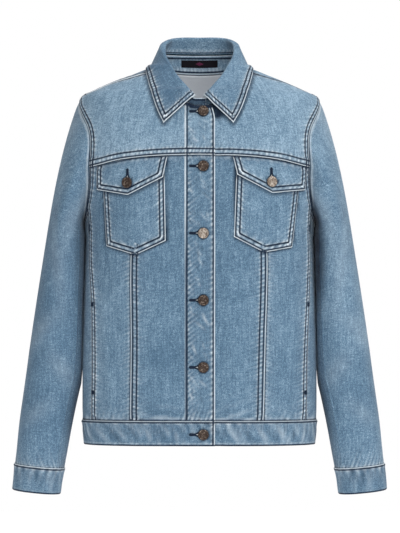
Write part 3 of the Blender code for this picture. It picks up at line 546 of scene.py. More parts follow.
@dataclass(frozen=True)
class Marks:
    """Where the grid lines of a piece run, in mm from two opposite edges."""

    first: tuple[float, ...]
    last: tuple[float, ...]
    step: float
    under_first: float = 0.0  # how far the cloth runs on past the edge, under its neighbour
    under_last: float = 0.0
    part_first: Pair = EVERYWHERE  # the part of the edge where it does
    part_last: Pair = EVERYWHERE

    def count(self, length: float) -> int:
        """How many steps lie between the marks near the two edges."""
        return max(int(round((length - self.first[-1] - self.last[-1]) / self.step)), 1)

    def along(self, lengths: Array, count: int, place_on: Array, near_scale: Array,
              far_scale: Array) -> Array:
        """Distances from the first edge, one row for each of the lengths.

        Args:
            lengths: the grid lines' lengths.
            count: steps between the marks near the two edges.
            place_on: how far along the two edges each grid line starts.
            near_scale, far_scale: length of grid line for each mm away from either edge.
        """
        near = np.array(self.first) * near_scale[:, None]
        far = np.array(self.last)[::-1] * far_scale[:, None]
        squeeze = np.minimum(1, 0.9 * lengths / (near[:, -1] + far[:, 0]))[:, None]
        begin, stop = near * squeeze, lengths[:, None] - far * squeeze
        share = np.linspace(0, 1, count + 1)[1:-1]
        parts = [begin, begin[:, -1:] * (1 - share) + stop[:, :1] * share, stop]

        def run_on(amount: float, part: Pair, scale: Array) -> Array:
            """How far each grid line runs on past an edge."""
            return (0.02 + amount * within(place_on, part) * scale)[:, None]

        if self.under_first:
            parts.insert(0, -run_on(self.under_first, self.part_first, near_scale))
        if self.under_last:
            parts.append(lengths[:, None] + run_on(self.under_last, self.part_last, far_scale))
        return np.concatenate(parts, axis=1)


def beside(*rows: float) -> tuple[float, ...]:
    """Grid lines beside a sewn edge whose stitch rows lie that far from it.

    Args:
        rows: how far each stitch row lies from the edge.

    Returns:
        Distances from the edge, rising.
    """
    marks = {0.0, 0.5, 1.2}
    for row in rows:
        marks |= {row - 0.8, row, row + 0.8}
    for first, second in zip(rows, rows[1:]):
        marks |= {first + 0.8 + (second - first - 1.6) * share for share in (0.25, 0.5, 0.75)}
    marks |= {rows[-1] + extra for extra in (1.8, 3.2, 5.5)}
    return tuple(sorted(marks))


# grid lines beside a plain edge, one that runs on under its neighbour, a turned one and the label's
PLAIN, CLOSE = (0.0, 0.8, 1.8, 3.5, 6.5), (0.0, 0.8, 1.8, 3.6, 5.6)
TURNED_EDGE = (0.0, 0.7, 1.4, 2.1, 2.8, 3.6, 4.6, 6.0)
SMALL = (0.0, 0.6, 1.6)


class Patch:
    """A piece's outline on a surface: four edges in that surface's own two coordinates."""

    LATTICE = 120

    def __init__(self, surface: Callable[[Array], Array], low: Array, high: Array, start: Array,
                 end: Array) -> None:
        """Keeps the four edges, each divided evenly along its length.

        Args:
            surface: gives the point for each pair of coordinates.
            low, high: edges from the first column to the last.
            start, end: edges from the lowest row to the highest.
        """
        self.surface = surface
        self.low, self.high, self.start, self.end = (self.even(edge) for edge in (low, high, start, end))

    def even(self, edge: Array) -> Array:
        """The edge's coordinates at equal steps of length.

        Args:
            edge: coordinates along it.

        Returns:
            LATTICE + 1 pairs.
        """
        run = run_length(self.surface(edge))
        at = np.linspace(0, run[-1], self.LATTICE + 1)
        return read(at, run, edge)

    def coordinates(self, a: Array, b: Array) -> Array:
        """Coordinates at the share a from start to end and b from low to high, past the edges too.

        Args:
            a, b: the shares, 0 and 1 at the edges.

        Returns:
            Pairs in the surface's own coordinates.
        """
        def on(edge: Array, share: Array) -> Array:
            """The edge's coordinates at a share of its length.

            Args:
                edge: coordinates along it.
                share: how far along.

            Returns:
                A pair for each share.
            """
            inside = unit(share)
            value = read(inside, np.linspace(0, 1, len(edge)), edge)
            slope = np.where((share < 0)[..., None], edge[1] - edge[0], edge[-1] - edge[-2])
            return value + (share - inside)[..., None] * slope * (len(edge) - 1)

        low, high, start, end = on(self.low, a), on(self.high, a), on(self.start, b), on(self.end, b)
        a, b = a[..., None], b[..., None]
        corners = ((1 - b) * ((1 - a) * self.low[0] + a * self.low[-1])
                   + b * ((1 - a) * self.high[0] + a * self.high[-1]))
        return (1 - b) * low + b * high + (1 - a) * start + a * end - corners

    def grid(self, across: Marks, up: Marks) -> tuple[Array, dict[Edge, Array]]:
        """Points of the patch, with grid lines at the marks, and each point's distance from each edge.

        Args:
            across: marks from START to END.
            up: marks from LOW to HIGH.

        Returns:
            The points, and the distances by edge.
        """
        share = np.linspace(0, 1, self.LATTICE + 1)
        a, b = np.meshgrid(share, share)
        points = self.surface(self.coordinates(a, b))
        rows, columns = run_length(points, 1), run_length(points, 0)
        steep = {edge: self.steepness(points, edge) for edge in Edge}
        total = columns[-1].mean()
        steps = up.count(total)
        one = np.ones(1)
        climb = unit(up.along(one * total, steps, one, one, one)[0] / total)
        run = read(climb, share, rows)
        scales = [np.interp(climb, share, steep[edge]) for edge in (Edge.START, Edge.END)]
        from_start = across.along(run[:, -1], across.count(run[:, -1].max()), climb * total, *scales)
        a = np.array([beyond(s, r, share) for s, r in zip(from_start, run)])
        middle = unit(a.mean(axis=0))
        rise = np.stack([np.interp(middle, share, row) for row in columns])
        heights = [np.interp(middle, share, steep[edge]) for edge in (Edge.LOW, Edge.HIGH)]
        from_low = up.along(rise[-1], steps, middle * rows[-1, -1], *heights)
        b = np.array([beyond(s, r, share) for s, r in zip(from_low, rise.T)]).T
        spans = {Edge.START: from_start / scales[0][:, None],
                 Edge.END: (run[:, -1:] - from_start) / scales[1][:, None],
                 Edge.LOW: from_low.T / heights[0], Edge.HIGH: (rise[-1] - from_low.T) / heights[1]}
        return self.surface(self.coordinates(a, b)), spans

    @staticmethod
    def steepness(points: Array, edge: Edge) -> Array:
        """Length of the grid lines that meet an edge for each mm away from it: 1 where that is square.

        Args:
            points: a grid of the patch.
            edge: which edge.

        Returns:
            A factor for each grid line.
        """
        if edge in (Edge.START, Edge.END):
            points = np.swapaxes(points, 0, 1)
        if edge in (Edge.END, Edge.HIGH):
            points = points[::-1]
        run = np.gradient(points[0], axis=0)
        leave = points[4] - points[0]
        square = (np.linalg.norm(np.cross(run, leave), axis=1)
                  / (np.linalg.norm(run, axis=1) * np.linalg.norm(leave, axis=1) + 1e-9))
        square = np.convolve(np.pad(square, 3, "edge"), np.ones(7) / 7, "valid")
        return 1 / np.clip(square, 0.4, 1)


def beyond(at: Array, keys: Array, values: Array) -> Array:
    """np.interp that runs straight on past both ends.

    Args:
        at: where to read.
        keys, values: the table.

    Returns:
        A value for each.
    """
    value = np.interp(at, keys, values)
    before, after = np.minimum(at - keys[0], 0), np.maximum(at - keys[-1], 0)
    return (value + before * (values[1] - values[0]) / (keys[1] - keys[0])
            + after * (values[-1] - values[-2]) / (keys[-1] - keys[-2]))


def ripple(along: Array, pitch: float, seed: int) -> Array:
    """Uneven wave from -1 to 1 along a length, its crests about a pitch apart.

    Args:
        along: places along it.
        pitch: distance between crests.
        seed: what it starts from.

    Returns:
        The wave's height at each.
    """
    rng = np.random.default_rng(seed)
    count = int((along.max() - along.min()) / pitch * 2) + 12
    knots = (np.arange(count) - 4 + rng.uniform(-0.35, 0.35, count)) * pitch / 2 + along.min()
    heights = np.where(np.arange(count) % 2, 1.0, -1.0) * rng.uniform(0.3, 1.0, count)
    return smooth(knots, heights, along)


def bell(distance: Array, width: float) -> Array:
    """1 at no distance, falling away within about a width."""
    return np.exp(-(distance / width) ** 2)


@dataclass(frozen=True)
class Seam:
    """A folded edge that is sewn down on its neighbour, with its rows of stitching."""

    rows: tuple[float, ...] = (2.4, 8.8)  # mm from the folded edge
    rise: float = 1.3  # how high the folded edge lies on its neighbour
    puff: float = 0.35  # fullness between the rows
    pitch: float = 5.6  # distance between puckers
    pucker: float = 0.28  # height of the puckers beyond the last row
    reach: float = 7.0  # how far they run
    slant: float = 0.35  # how far they lean, mm for each mm
    fading: float = 1.0  # how much the high places have lost their dye

    @property
    def marks(self) -> tuple[float, ...]:
        """Grid lines beside the edge."""
        return beside(*self.rows)


@dataclass(frozen=True)
class Under:
    """How cloth that runs on under its neighbour ripples beside it."""

    pitch: float = 6.5  # distance between waves
    height: float = 0.22
    reach: float = 7.0  # how far they run


UNDER_YOKE, UNDER_NECK, UNDER_BACK_NECK = Under(5.4, 0.25, 6.0), Under(6.0, 0.2), Under(6.0, 0.15)
UNDER_BAND, UNDER_FRONT_BAND = Under(9.0, 0.4, 10.0), Under(7.0, 0.5, 12.0)
UNDER_CUFF, UNDER_FLAP = Under(7.0, 0.7, 13.0), Under(7.0, 0.3, 5.0)


@dataclass(frozen=True)
class Line:
    """A line on the cloth, with the direction out of the cloth at each point."""

    points: Array
    out: Array


@dataclass(frozen=True)
class Fold:
    """A soft fold: where it is, how it lies and how far it stands out or sinks in, in mm."""

    across: float
    up: float
    lean: float  # degrees from upright, positive when its top leans to larger values across
    half_width: float
    half_length: float
    height: float


CURL_DEPTH, CURL_WIDTH = 0.55, 1.1  # how far a folded edge curls in, and over what width
SINK_DEPTH, SINK_WIDTH = 0.42, 0.75  # the same for a row of stitches, which pulls the cloth in


class Cloth:
    """One piece of cloth: its outer face as a grid, and what is done to each point of it."""

    def __init__(self, name: str, patch: Patch, across: Marks, up: Marks,
                 towards: Callable[[Array], Array] | int, lift: float = CLOTH, seed: int = 1) -> None:
        """Lays the grid.

        Args:
            name: the piece's name.
            patch: its outline.
            across, up: where its grid lines run.
            towards: the direction out of the cloth, or 1 or -1 for the grid's own normals.
            lift: the outer face's height above the surface.
            seed: what its unevenness starts from.
        """
        self.name, self.seed = name, seed
        base, self.span = patch.grid(across, up)
        normal = grid_normals(base)
        sign = towards if isinstance(towards, int) else np.sign((towards(base) * normal).sum())
        self.out = normal * sign
        self.flipped = sign < 0
        self.base = base + self.out * lift
        self.x, self.y, self.z = np.moveaxis(self.base, -1, 0)
        self.start, self.end, self.low, self.high = (self.span[edge] for edge in Edge)
        # the first value also carries painted highlights, the second painted shadow and painted shade, the
        # third painted light and shade
        self.lift, self.wear, self.ink, self.fade = (np.zeros(base.shape[:2]) for _ in range(4))

    def along(self, edge: Edge) -> Array:
        """Each point's distance along an edge."""
        return self.span[Edge.LOW if edge in (Edge.START, Edge.END) else Edge.START]

    def folded(self, edge: Edge, seam: Seam, part: Pair = EVERYWHERE, rise: Array | float | None = None,
               turned: tuple[Edge, ...] = ()) -> None:
        """Dresses an edge that is folded and sewn down on its neighbour.

        Its rows turn at the corners with the edges in turned.

        Args:
            edge, seam: the edge and how it is sewn.
            part: the part of the edge, in mm.
            rise: the fold's height, if not the seam's.
            turned: the edges at whose corners the rows turn.
        """
        self.seed += 7
        distance, along, last = self.span[edge], self.along(edge), seam.rows[-1]
        weight = within(along, part)
        beads = ripple(along + seam.slant * distance, seam.pitch, self.seed)
        lap = 1 - eased((distance - last - 1.2) / 4)
        lift = (seam.rise if rise is None else rise) * lap
        lift = lift - CURL_DEPTH * (1 - unit(distance / CURL_WIDTH)) ** 2
        middle, half = (seam.rows[0] + last) / 2, max((last - seam.rows[0]) / 2, 1.0)
        between = np.exp(-((distance - middle) / half) ** 4)
        lift += seam.puff * between * (0.55 + 0.45 * beads)
        thread = sum(bell(distance - row, SINK_WIDTH) for row in seam.rows)
        lift -= SINK_DEPTH * thread * (0.8 - 0.2 * beads)
        away = np.exp(-np.maximum(distance - last - 1.5, 0) / seam.reach) * (distance > last)
        lift += seam.pucker * away * beads
        edge_line = bell(distance - 0.2, 1.1)
        ridge = bell(distance - last - 1.9, 1.1)
        high, low = unit(beads), unit(-beads)
        groove = sum(bell(distance - row, 1.05)
                     * np.prod([eased((self.span[other] - row + 1) / 0.8) for other in turned], axis=0)
                     for row in seam.rows)
        wear = (1.5 * edge_line + between * (0.12 + 0.8 * high) * (1 - unit(groove))
                + ridge * (0.2 + 0.45 * high) + 0.35 * away * high)
        # the dark in the stitch grooves is painted shade; in the puckers' hollows it is partly unworn dye
        # and partly painted shade
        ink = 1.45 * groove + between * 0.45 * low + 0.4 * away * low
        self.lift += weight * lift
        self.wear += weight * wear * seam.fading
        self.ink += weight * ink

    def beneath(self, edge: Edge, under: Under = Under(), part: Pair = EVERYWHERE) -> None:
        """Dresses an edge that runs on under its neighbour, with painted shadow along the neighbour's edge.

        Args:
            edge: the edge.
            under: how the cloth ripples beside it.
            part: the part of the edge, in mm.
        """
        self.seed += 7
        distance, along = self.span[edge], self.along(edge)
        weight = within(along, part)
        waves = ripple(along + 0.4 * distance, under.pitch, self.seed)
        near = np.exp(-above(distance) / under.reach)
        self.lift += weight * (under.height * near * waves - 0.12 * (distance < 0.4))
        self.wear += weight * near * (0.5 * unit(waves) + 0.2 * bell(distance - 3.6, 1.6))
        # painted shadow along the neighbour's edge; the wave hollows darker, partly unworn dye and partly
        # painted shade
        self.ink += weight * (1.25 * bell(np.maximum(distance, 0), 1.6) + 0.5 * near * unit(-waves))

    def hem(self, low: Array, along: Array) -> None:
        """The turned edge of a band: rolled under, with painted shade along it, and a worn line just above
        it.

        Args:
            low: distance from the edge.
            along: distance along it.
        """
        self.seed += 7
        beads = ripple(along, 9.0, self.seed)
        self.lift -= 0.7 * (1 - unit(low / 1.6)) ** 2
        self.wear += bell(low - 3.9, 1.1) * (0.25 + 0.2 * beads)
        # painted shade along the rolled edge
        self.ink += 1.5 * (1 - eased((low - 1.7) / 1.3))

    def shade(self, line: Array, amount: float = 1.0, width: float = 1.8, above: float = 1.2) -> None:
        """Paints shadow on the cloth along another piece's edge, which lies a little above it.

        Args:
            line: points of the other edge.
            amount: how dark the painted shadow is.
            width: how soon it fades.
            above: how high that edge lies.
        """
        gap = np.full(self.lift.shape, np.inf)
        for point in line:
            gap = np.minimum(gap, ((self.base - point) ** 2).sum(axis=-1))
        self.ink += amount * bell(np.maximum(np.sqrt(gap) - above, 0), width)

    def fold(self, across: Array, up: Array, folds: list[tuple], fading: float = 0.0) -> None:
        """Adds soft folds, placed by two lengths in mm that each point has.

        Args:
            across, up: the two lengths.
            folds: rows that say what a Fold does.
            fading: how pale the ridges are, as wear and painted highlight, and how dark the hollows are, as
                unworn dye and painted shade.
        """
        for item in (Fold(*row) for row in folds):
            lean = math.radians(item.lean)
            x, y = across - item.across, up - item.up
            off = x * math.cos(lean) - y * math.sin(lean)
            on = x * math.sin(lean) + y * math.cos(lean)
            shape = np.exp(-(off / item.half_width) ** 2 - (on / item.half_length) ** 2)
            self.lift += item.height * shape
            self.wear += fading * above(item.height) * shape
            self.ink += fading * above(-item.height) * shape

    @property
    def points(self) -> Array:
        """The outer face as it ends up."""
        return self.base + self.out * self.lift[..., None]

    def line(self, edge: Edge, offset: float, stops: Pair = (0.0, 0.0), part: Pair = EVERYWHERE,
             depth: float = 0.0, far: Array | None = None) -> Line:
        """The line that runs along an edge at an offset from it.

        Args:
            edge: the edge.
            offset: mm from it.
            stops: how far from the two neighbouring edges the line ends.
            part: the part of the edge, in mm along it.
            depth: how far under the outer face; a line on the inner face faces inwards.
            far: what offset is measured by, if not the distance from the edge.
        """
        across = edge in (Edge.START, Edge.END)
        grid, out, distance = self.points, self.out, self.span[edge] if far is None else far
        ends = (Edge.LOW, Edge.HIGH) if across else (Edge.START, Edge.END)
        room = np.stack([self.span[ends[0]] - stops[0], self.span[ends[1]] - stops[1]])
        along = self.along(edge)
        if not across:
            grid, out, distance, along = (np.swapaxes(a, 0, 1) for a in (grid, out, distance, along))
            room = np.swapaxes(room, 1, 2)
        found = []
        for points, normals, far, runs, left in zip(grid, out, distance, along, np.moveaxis(room, 0, -1)):
            order = np.argsort(far)
            keys = far[order]
            values = np.concatenate([points, normals, runs[:, None], left], axis=1)[order]
            found.append([np.interp(offset, keys, column) for column in values.T])
        found = np.array(found)
        found = found[(found[:, 7] >= -0.6) & (found[:, 8] >= -0.6) & (found[:, 6] >= part[0])
                      & (found[:, 6] <= part[1])]
        out = direction(found[:, 3:6])
        return Line(found[:, :3] - out * depth, -out if depth else out)

    def sewn(self, thread: "Thread", edge: Edge, seam: Seam, stops: Pair = (0.0, 0.0),
             part: Pair = EVERYWHERE) -> None:
        """Sews a seam's rows along an edge."""
        for row in seam.rows:
            thread.sew(self.line(edge, row, stops, part))

    def nearest(self, x: float, z: float) -> tuple[Array, Array]:
        """The foremost point of the outer face at about (x, z), and its direction out.

        Args:
            x, z: the place.

        Returns:
            The point and the direction.
        """
        points = self.points
        gap = (points[..., 0] - x) ** 2 + (points[..., 2] - z) ** 2
        cost = points[..., 1] + 0.1 * gap + np.where(gap < max(30.0, 1.2 * gap.min()), 0, 1e6)
        index = np.unravel_index(cost.argmin(), cost.shape)
        seat = np.array((x, points[index][1], z))
        return seat, self.out[index]

    def make(self, held: str, faces: tuple[bpy.types.Material, ...], wall: float = CLOTH,
             shares: Array | None = None, closed: bool = False, slot: str = "denim",
             rests_on: tuple[str, ...] = ()) -> bpy.types.Object:
        """Makes the object: the outer face, a wall inwards, its grain and its attributes.

        Args:
            held: how the sheet is held; not used.
            faces: finishes of its right side and of its reverse.
            wall: thickness.
            shares: each point's part of the wall, where it varies.
            closed: whether its last column joins its first.
            slot: the material slot; not used.
            rests_on: what it lies on; not used.

        Returns:
            The object.
        """
        columns = slice(None, -1 if closed else None)
        points, wear, ink, fade, across, up = (
            a[:, columns] for a in (self.points, self.wear, self.ink, self.fade, self.start, self.low))
        index = np.arange(wear.size).reshape(wear.shape)
        right = np.roll(index, -1, axis=1) if closed else index[:, 1:]
        left = index if closed else index[:, :-1]
        quads = np.stack([left[:-1], right[:-1], right[1:], left[1:]], axis=-1).reshape(-1, 4)
        quads = quads[:, ::-1] if self.flipped else quads
        made = add_object(self.name, points.reshape(-1, 3), quads.tolist(), faces, self.name)
        mesh = made.data
        colour = np.stack([unit(wear), unit(ink), unit(fade * 0.5 + 0.5), np.ones(wear.shape)], axis=-1)
        # the three values, painted highlights, shadow, shade and light among them, go into one colour
        # attribute
        wear_shade_and_light = mesh.color_attributes.new("wear_shade_and_light", "FLOAT_COLOR", "POINT")
        wear_shade_and_light.data.foreach_set("color", colour.astype(np.float32).ravel())
        corner = np.empty(len(mesh.loops), np.int32)
        mesh.loops.foreach_get("vertex_index", corner)
        uv = (np.stack([across, up], axis=-1) * MM).reshape(-1, 2)[corner]
        mesh.uv_layers.new(name="grain").data.foreach_set("uv", uv.astype(np.float32).ravel())
        thick = made.modifiers.new("wall", "SOLIDIFY")
        thick.thickness = wall * MM
        thick.offset = -1
        thick.material_offset = 1
        thick.use_even_offset = False
        if shares is not None:
            group = made.vertex_groups.new(name="wall")
            for share in np.unique(shares):
                group.add(np.flatnonzero(shares.ravel() == share).tolist(), float(share), "REPLACE")
            thick.vertex_group = "wall"
        flat = self.base
        width, length = run_length(flat, 1)[:, -1].max(), run_length(flat, 0)[-1].max()
        return made


def linked(name: str, data: bpy.types.ID) -> bpy.types.Object:
    """A new object in the scene.

    Args:
        name: its name.
        data: its mesh, light or camera.

    Returns:
        The object.
    """
    made = bpy.data.objects.new(name, data)
    bpy.context.scene.collection.objects.link(made)
    return made


def add_object(name: str, points: Array, faces: list, materials: Iterable[bpy.types.Material],
               replaced: str = "", smooth: bool = True) -> bpy.types.Object:
    """Makes an object from points in mm, which stands for a solid if one is named.

    Args:
        name: its name.
        points, faces: its mesh.
        materials: its finishes.
        replaced: the solid.
        smooth: whether it is shaded smooth.

    Returns:
        The object.
    """
    mesh = bpy.data.meshes.new(name)
    mesh.from_pydata((points * MM).tolist(), [], faces)
    if smooth:
        mesh.shade_smooth()
    for material in materials:
        mesh.materials.append(material)
    made = linked(name, mesh)
    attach(made, "root")
    if replaced:
        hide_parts(replaced)
    return made


# ================================================================ thread
@dataclass
class Thread:
    """Stitches of one colour, gathered into one mesh."""

    name: str
    material: bpy.types.Material
    pitch: float = 3.1  # a row's stitches, in mm
    length: float = 3.0
    width: float = 1.55
    height: float = 0.6
    sides: int = 5
    rings: tuple[Pair, ...] = ((-0.36, 0.8), (0.0, 1.0), (0.36, 0.8))  # shares of the length and width
    dip: float = 0.28  # how far the ends of a stitch sink into the cloth
    rise: float = 0.35  # how much of its height a stitch stands above the line it is sewn on
    frames: list[tuple[Array, Array, Array, float, float]] = field(default_factory=list)

    def sew(self, line: Line) -> None:
        """Adds a row of stitches along a line.

        Args:
            line: where they go.
        """
        if len(line.points) < 2:
            return
        run = run_length(line.points)
        count = int(run[-1] // self.pitch)
        if count < 1:
            return
        middle = (np.arange(count) + 0.5) * run[-1] / count
        ends = [read(middle + half * self.length, run, line.points) for half in (-0.5, 0.5)]
        self.frames.append((*ends, read(middle, run, line.out), self.width, self.height))

    def bars(self, first: Array, second: Array, out: Array, width: float, height: float) -> None:
        """Adds single stitches between pairs of points."""
        self.frames.append((first, second, np.broadcast_to(out, first.shape), width, height))

    def bar(self) -> tuple[Array, Array]:
        """One stitch of unit size: its points and its faces.

        Returns:
            Points and triangles.
        """
        turn = np.arange(self.sides) * 2 * math.pi / self.sides
        shape = [(-0.5, 0.0, -self.dip)]
        for share, size in self.rings:
            dip = -self.dip * (2 * share) ** 2
            shape += [(share, math.cos(a) * size / 2, math.sin(a) * size / 2 + dip) for a in turn]
        shape.append((0.5, 0.0, -self.dip))
        faces, n = [], self.sides
        top = 1 + (len(self.rings) - 1) * n
        for k in range(n):
            after = (k + 1) % n
            faces.append((0, 1 + after, 1 + k))
            for low in range(1, top, n):
                high = low + n
                faces += [(low + k, low + after, high + after), (low + k, high + after, high + k)]
            faces.append((top + k, top + after, len(shape) - 1))
        return np.array(shape), np.array(faces)

    def build(self, slot: str = "denim") -> bpy.types.Object:
        """Makes the mesh: each stitch is a short rounded bar whose ends dip into the cloth.

        Args:
            slot: the material slot; not used.

        Returns:
            The object.
        """
        shape, faces = self.bar()
        points = []
        for first, second, out, width, height in self.frames:
            along = second - first
            tangent = direction(along)
            side = direction(np.cross(out, tangent))
            up = np.cross(tangent, side)
            centre = (first + second) / 2 + up * height * self.rise
            points.append(centre[:, None] + shape[None, :, :1] * along[:, None]
                          + shape[None, :, 1:2] * side[:, None] * width
                          + shape[None, :, 2:] * up[:, None] * height)
        points = np.concatenate(points).reshape(-1, 3)
        starts = np.arange(0, len(points), len(shape))[:, None, None]
        return add_object(self.name, points, (faces + starts).reshape(-1, 3).tolist(), [self.material])


# ================================================================ finishes
class Shader:
    """A material's node tree, with short ways to add nodes. A value is a number, a colour or a socket."""

    def __init__(self, name: str) -> None:
        """Makes the material with its Principled shader.

        Args:
            name: the material's name.
        """
        self.material = bpy.data.materials.new(name)
        self.material.use_nodes = True
        self.nodes = self.material.node_tree.nodes
        self.surface = self.nodes["Principled BSDF"]
        self.position = self.node("TexCoord", {}, "Object")

    def put(self, node: bpy.types.Node, values: dict[str | int, object]) -> None:
        """Sets or links a node's inputs.

        Args:
            node: the node.
            values: a value for each input, by name or number.
        """
        for key, value in values.items():
            if isinstance(value, bpy.types.NodeSocket):
                self.material.node_tree.links.new(value, node.inputs[key])
            else:
                node.inputs[key].default_value = value

    def node(self, kind: str, values: dict[str | int, object], output: str | int = 0,
             **settings: object) -> Socket:
        """A new node's output.

        Args:
            kind: its type, without ShaderNode.
            values: its inputs.
            output: which output.
            settings: its properties.

        Returns:
            The socket.
        """
        node = self.nodes.new("ShaderNode" + kind)
        for name, value in settings.items():
            setattr(node, name, value)
        self.put(node, values)
        return node.outputs[output]

    def math(self, operation: str, first: object, second: object, clamp: bool = False) -> Socket:
        """A Math node's result."""
        return self.node("Math", {0: first, 1: second}, operation=operation, use_clamp=clamp)

    def total(self, *parts: tuple[Socket, float], middle: float = 0.0, clamp: bool = False) -> Socket:
        """The sum of values, each less a middle and times its weight.

        Args:
            parts: each value with its weight.
            middle: what is taken off each value.
            clamp: whether sums stay between 0 and 1.

        Returns:
            The socket.
        """
        total = 0.0
        for value, weight in parts:
            value = self.math("SUBTRACT", value, middle) if middle else value
            total = self.math("ADD", total, self.math("MULTIPLY", value, weight), clamp)
        return total

    def mix(self, share: object, first: object, second: object) -> Socket:
        """A colour between two."""
        return self.node("Mix", {0: share, 6: first, 7: second}, 2, data_type="RGBA")

    def weave(self, scale: tuple[float, float, float], turn: float = 0.0) -> Socket:
        """The cloth's own coordinates scaled along each axis, after a turn in degrees."""
        return self.stretched(self.node("UVMap", {}, uv_map="grain"), scale, turn)

    def stretched(self, vector: Socket, scale: tuple[float, float, float], turn: float = 0.0) -> Socket:
        """Coordinates scaled along each axis, after a turn in degrees."""
        return self.node("Mapping",
                         {"Vector": vector, "Scale": scale, "Rotation": (0, 0, math.radians(turn))})

    def noise(self, vector: Socket, scale: float, detail: float = 2.0, rough: float = 0.5) -> Socket:
        """Noise from 0 to 1."""
        return self.node("TexNoise",
                         {"Vector": vector, "Scale": scale, "Detail": detail, "Roughness": rough}, "Fac")

    def wave(self, vector: Socket, scale: float, distortion: float = 0.0) -> Socket:
        """Bands along X from 0 to 1, scale bands for each 6.28 units."""
        return self.node("TexWave",
                         {"Vector": vector, "Scale": scale, "Distortion": distortion, "Detail": 1.0}, "Fac")

    def dress(self, colour: object, bump: tuple[Socket, float, float] | None = None,
              **values: object) -> None:
        """Sets the colour, the bump as height, distance and strength, and the shader's other inputs.

        Args:
            colour: the base colour.
            bump: height, distance and strength.
            values: other inputs, _ for each space.
        """
        self.put(self.surface, {"Base Color": colour} | {
            name.replace("_", " "): value for name, value in values.items()})
        if bump:
            normal = self.node("Bump", {"Height": bump[0], "Distance": bump[1], "Strength": bump[2]})
            self.put(self.surface, {"Normal": normal})


def linear(red: int, green: int, blue: int) -> Colour:
    """A colour given as on a screen, as the shader takes it."""
    return tuple(((c / 255 + 0.055) / 1.055) ** 2.4 if c > 10 else c / 3294.6
                 for c in (red, green, blue)) + (1.0,)


class Finish:
    """What every finish shares."""

    def make(self, name: str) -> bpy.types.Material:
        """Makes the material.

        Args:
            name: its name.

        Returns:
            The material.
        """
        shader = Shader(name)
        self.paint(shader)
        return shader.material


@dataclass(frozen=True)
class DenimFinish(Finish):
    """Washed denim: warp streaks, twill, clouds of fading, pale worn ridges and dark hollows, with the
    painted highlights, painted shadow, painted shade and painted light that the cloth's values carry.
    """

    deep: Colour = linear(76, 106, 132)
    middle: Colour = linear(111, 142, 166)
    pale: Colour = linear(163, 190, 211)
    worn_and_highlight_colour: Colour = linear(232, 243, 250)
    unworn_and_shade_colour: Colour = linear(16, 34, 56)

    def paint(self, s: Shader) -> None:
        """Adds the nodes.

        Args:
            s: the material's nodes.
        """
        wear_shade_and_light = s.node("Attribute", {}, "Color", attribute_name="wear_shade_and_light")
        parts = s.nodes.new("ShaderNodeSeparateColor")
        s.put(parts, {0: wear_shade_and_light})
        wear, ink, fade = parts.outputs
        streak = s.noise(s.weave((900, 60, 1)), 1.0, 3.0, 0.6)
        slub = s.noise(s.weave((330, 26, 1)), 1.0)
        cross = s.noise(s.weave((80, 500, 1)), 1.0)
        twill = s.wave(s.weave((1, 1, 1), 27.0), 420.0, 0.4)
        cloud, mottle, grain, speck = (s.noise(s.position, *sizes) for sizes in (
            (8.5, 3.0, 0.55), (62.0, 4.0, 0.62), (310.0, 3.0, 0.6), (740.0, 2.0, 0.6)))
        unevenness = s.total((streak, 0.7), (slub, 0.7), (cross, 0.6), (cloud, 0.6), (mottle, 0.5),
                             (grain, 0.75), (speck, 2.0), (twill, 0.06), middle=0.5)
        # the third value, fading with painted light and shade, moves the tone
        level = s.math("ADD", unevenness, fade, clamp=True)
        shade = s.mix(s.math("MULTIPLY", level, 2.0, clamp=True), self.deep, self.middle)
        shade = s.mix(s.total((level, 2.0), middle=0.5, clamp=True), shade, self.pale)
        take = s.math("ADD", s.total((mottle, 0.9), (speck, 0.6)), 0.2)
        # pale wear and painted highlights, then dark unworn dye with painted shadow and shade, over that
        # tone
        for amount, colour in ((wear, self.worn_and_highlight_colour), (ink, self.unworn_and_shade_colour)):
            shade = s.mix(s.math("MULTIPLY", amount, take, clamp=True), shade, colour)
        s.dress(shade, (s.total((twill, 0.6), (speck, 0.8), (streak, 0.7)), 0.00035, 0.55),
                Roughness=s.math("ADD", 0.82, s.math("MULTIPLY", streak, 0.15)), Sheen_Weight=0.12,
                Sheen_Roughness=0.5, Specular_IOR_Level=0.2)


@dataclass(frozen=True)
class ReverseFinish(Finish):
    """The reverse of denim, where the undyed weft shows."""

    weft: Colour = linear(243, 245, 248)
    warp: Colour = linear(212, 219, 228)

    def paint(self, s: Shader) -> None:
        """Adds the nodes.

        Args:
            s: the material's nodes.
        """
        twill = s.wave(s.weave((1, 1, 1), -27.0), 420.0, 0.4)
        cloud, speck = s.noise(s.position, 45.0, 3.0), s.noise(s.position, 1000.0)
        share = s.total((twill, 0.25), (speck, 0.45), (cloud, 0.25), clamp=True)
        s.dress(s.mix(share, self.weft, self.warp), (s.math("ADD", twill, speck), 0.0003, 0.5),
                Roughness=0.93, Sheen_Weight=0.1, Specular_IOR_Level=0.15)


@dataclass(frozen=True)
class ThreadFinish(Finish):
    """Spun sewing thread with a slight twist."""

    colour: Colour = linear(8, 22, 40)
    light: Colour = linear(36, 56, 82)

    def paint(self, s: Shader) -> None:
        """Adds the nodes.

        Args:
            s: the material's nodes.
        """
        tone, twist = s.noise(s.position, 130.0), s.noise(s.position, 2400.0, 1.0)
        share = s.total((tone, 0.5), (twist, 0.35), clamp=True)
        s.dress(s.mix(share, self.colour, self.light), (twist, 0.0001, 0.6), Roughness=0.7,
                Specular_IOR_Level=0.25)


